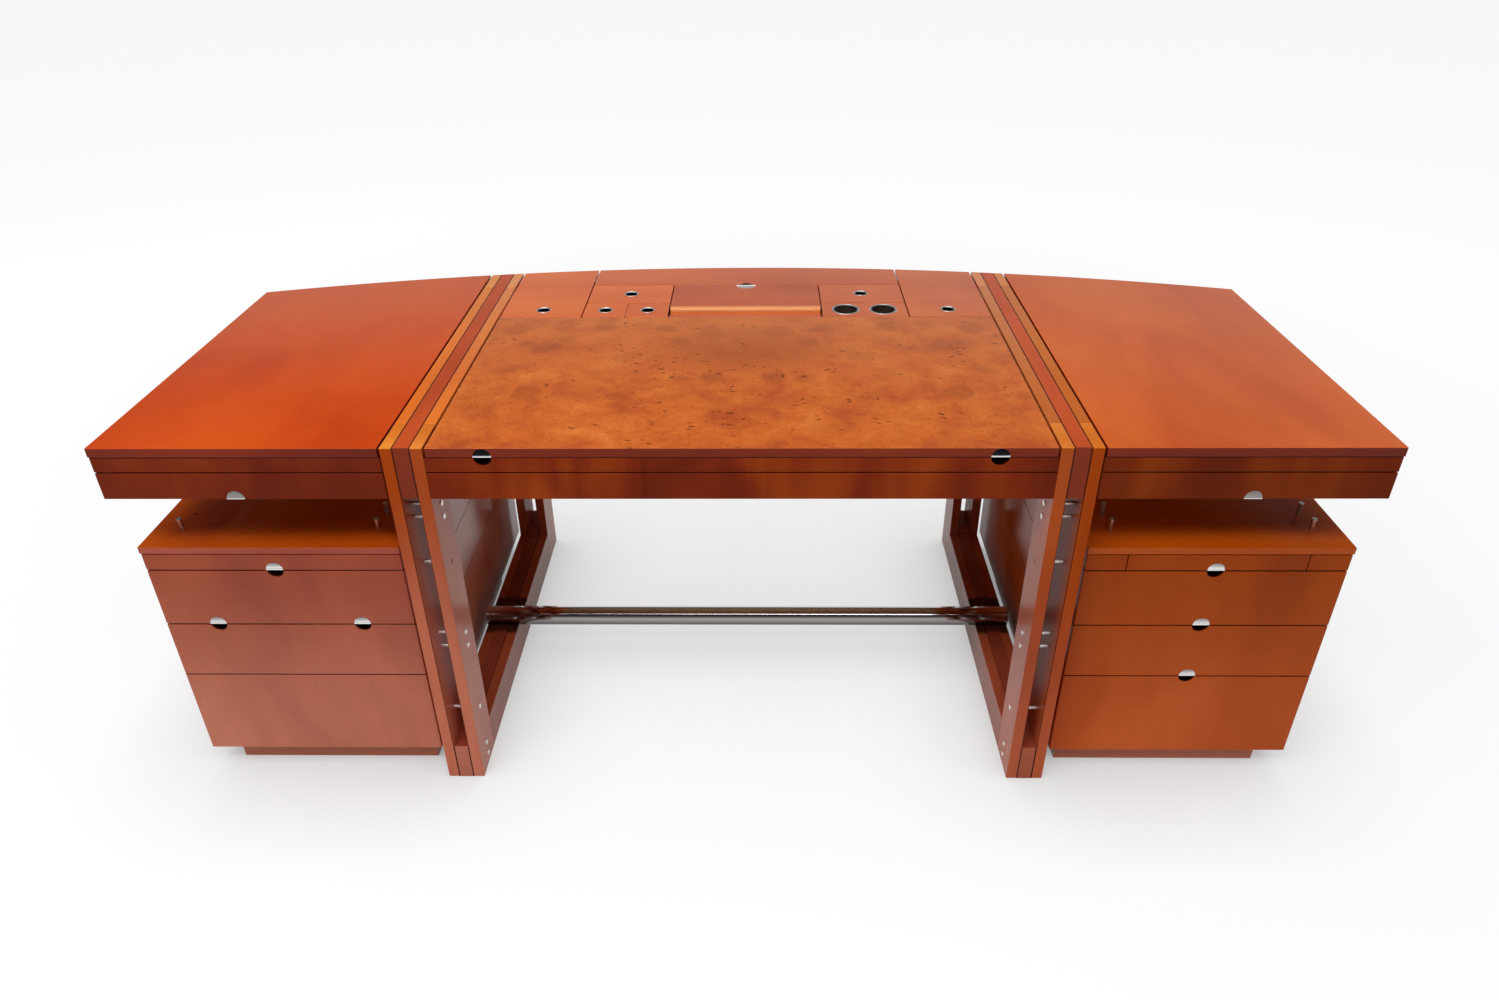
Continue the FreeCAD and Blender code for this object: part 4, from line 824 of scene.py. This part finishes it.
def paper_floor():
    """Matt white paper under the desk, which keeps the desk's shadow."""
    mesh = bpy.data.meshes.new("studio_floor")
    form = bmesh.new()
    bmesh.ops.create_grid(form, x_segments=1, y_segments=1, size=FLOOR_HALF)
    form.to_mesh(mesh)
    form.free()
    floor = bpy.data.objects.new("studio_floor", mesh)
    bpy.context.scene.collection.objects.link(floor)
    mat, tree, shader, place = blank("studio_paper")
    seen = looked_at(tree)
    paper = put(tree, "ShaderNodeMix", {"Factor": seen, "A": grey(FLOOR_BOUNCE), "B": grey(FLOOR_SHADED)},
                data_type="RGBA").outputs["Result"]
    tree.links.new(paper, shader.inputs["Base Color"])
    away = put(tree, "ShaderNodeVectorMath", {0: place}, operation="LENGTH").outputs["Value"]
    near, far = FLOOR_RANGE
    white = put(tree, "ShaderNodeMapRange", {"Value": away, "From Min": near, "From Max": far,
                                             "To Min": FLOOR_WHITE, "To Max": FLOOR_FAR},
                interpolation_type="SMOOTHSTEP").outputs["Result"]
    white = put(tree, "ShaderNodeMath", {0: white, 1: seen}, operation="MULTIPLY").outputs["Value"]
    hidden = put(tree, "ShaderNodeAmbientOcclusion", {"Distance": FOOT_SHADE}, samples=8).outputs["AO"]
    hidden = put(tree, "ShaderNodeMapRange", {"Value": hidden, "To Min": FOOT_SHADE_WHITE}).outputs["Result"]
    white = put(tree, "ShaderNodeMath", {0: white, 1: hidden}, operation="MULTIPLY").outputs["Value"]
    tree.links.new(white, shader.inputs["Emission Strength"])
    shader.inputs["Emission Color"].default_value = grey(1.0)
    shader.inputs["Roughness"].default_value = 0.9
    shader.inputs["Specular IOR Level"].default_value = 0.0
    floor.data.materials.append(mat)


def backdrop():
    """Backdrop, white at the horizon and darker upwards, of which little light falls on the desk."""
    world = bpy.data.worlds.new("studio")
    world.use_nodes = True
    bpy.context.scene.world = world
    tree = world.node_tree
    seen = looked_at(tree)
    way = put(tree, "ShaderNodeSeparateXYZ", {"Vector": put(tree, "ShaderNodeTexCoord").outputs["Generated"]})
    rise = put(tree, "ShaderNodeMath", {0: way.outputs["X"], 1: BACKDROP_LEAN, 2: way.outputs["Z"]},
               operation="MULTIPLY_ADD").outputs["Value"]
    cloth = put(tree, "ShaderNodeValToRGB", {"Fac": rise},
                stops=[(at, grey(value)) for at, value in BACKDROP]).outputs["Color"]
    shown = put(tree, "ShaderNodeMix", {"Factor": seen, "A": grey(AMBIENT), "B": cloth},
                data_type="RGBA").outputs["Result"]
    tree.links.new(shown, tree.nodes["Background"].inputs["Color"])


def softbox(name, size, watts, place, target):
    """Rectangular soft lamp that looks at a point."""
    lamp = bpy.data.lights.new(name, "AREA")
    lamp.shape = "RECTANGLE"
    lamp.size, lamp.size_y = size
    lamp.energy = watts
    obj = bpy.data.objects.new(name, lamp)
    obj.location = place
    obj.rotation_euler = (Vector(target) - Vector(place)).to_track_quat("-Z", "Y").to_euler()
    bpy.context.scene.collection.objects.link(obj)


def studio():
    """Floor, backdrop, and soft light from above and from over the sitter's head."""
    paper_floor()
    backdrop()
    softbox("overhead_softbox", size=(6.5, 3.2), watts=70.0,
            place=(-0.6, FRONT + 0.6, 3.6), target=(-0.6, FRONT + 0.6, 0.0))
    softbox("front_softbox", size=(3.6, 0.75), watts=88.0,
            place=(-0.5, FRONT - 1.70, 3.4), target=(0.0, FRONT + 0.3, 0.6))
    bpy.context.scene.view_settings.view_transform = "Standard"


def camera():
    """Camera fitted to the photograph's edges."""
    data = bpy.data.cameras.new("camera")
    data.sensor_width = SENSOR
    data.lens = SENSOR * FOCAL / PHOTO_WIDTH
    data.shift_x = (PHOTO_WIDTH / 2 - MIDDLE) / PHOTO_WIDTH
    ahead = Vector((math.sin(YAW) * math.cos(TILT), math.cos(YAW) * math.cos(TILT), -math.sin(TILT)))
    right = Vector((math.cos(YAW), -math.sin(YAW), 0))
    up = right.cross(ahead)
    turned_right = right * math.cos(ROLL) + up * math.sin(ROLL)
    turned_up = up * math.cos(ROLL) - right * math.sin(ROLL)
    turn = Matrix((turned_right, turned_up, -ahead)).transposed().to_4x4()
    obj = bpy.data.objects.new("camera", data)
    obj.matrix_world = Matrix.Translation((CAMERA_ACROSS, FRONT - CAMERA_BEFORE, CAMERA_HEIGHT)) @ turn
    bpy.context.scene.collection.objects.link(obj)
    bpy.context.scene.camera = obj


dress()
rims()
studio()
camera()
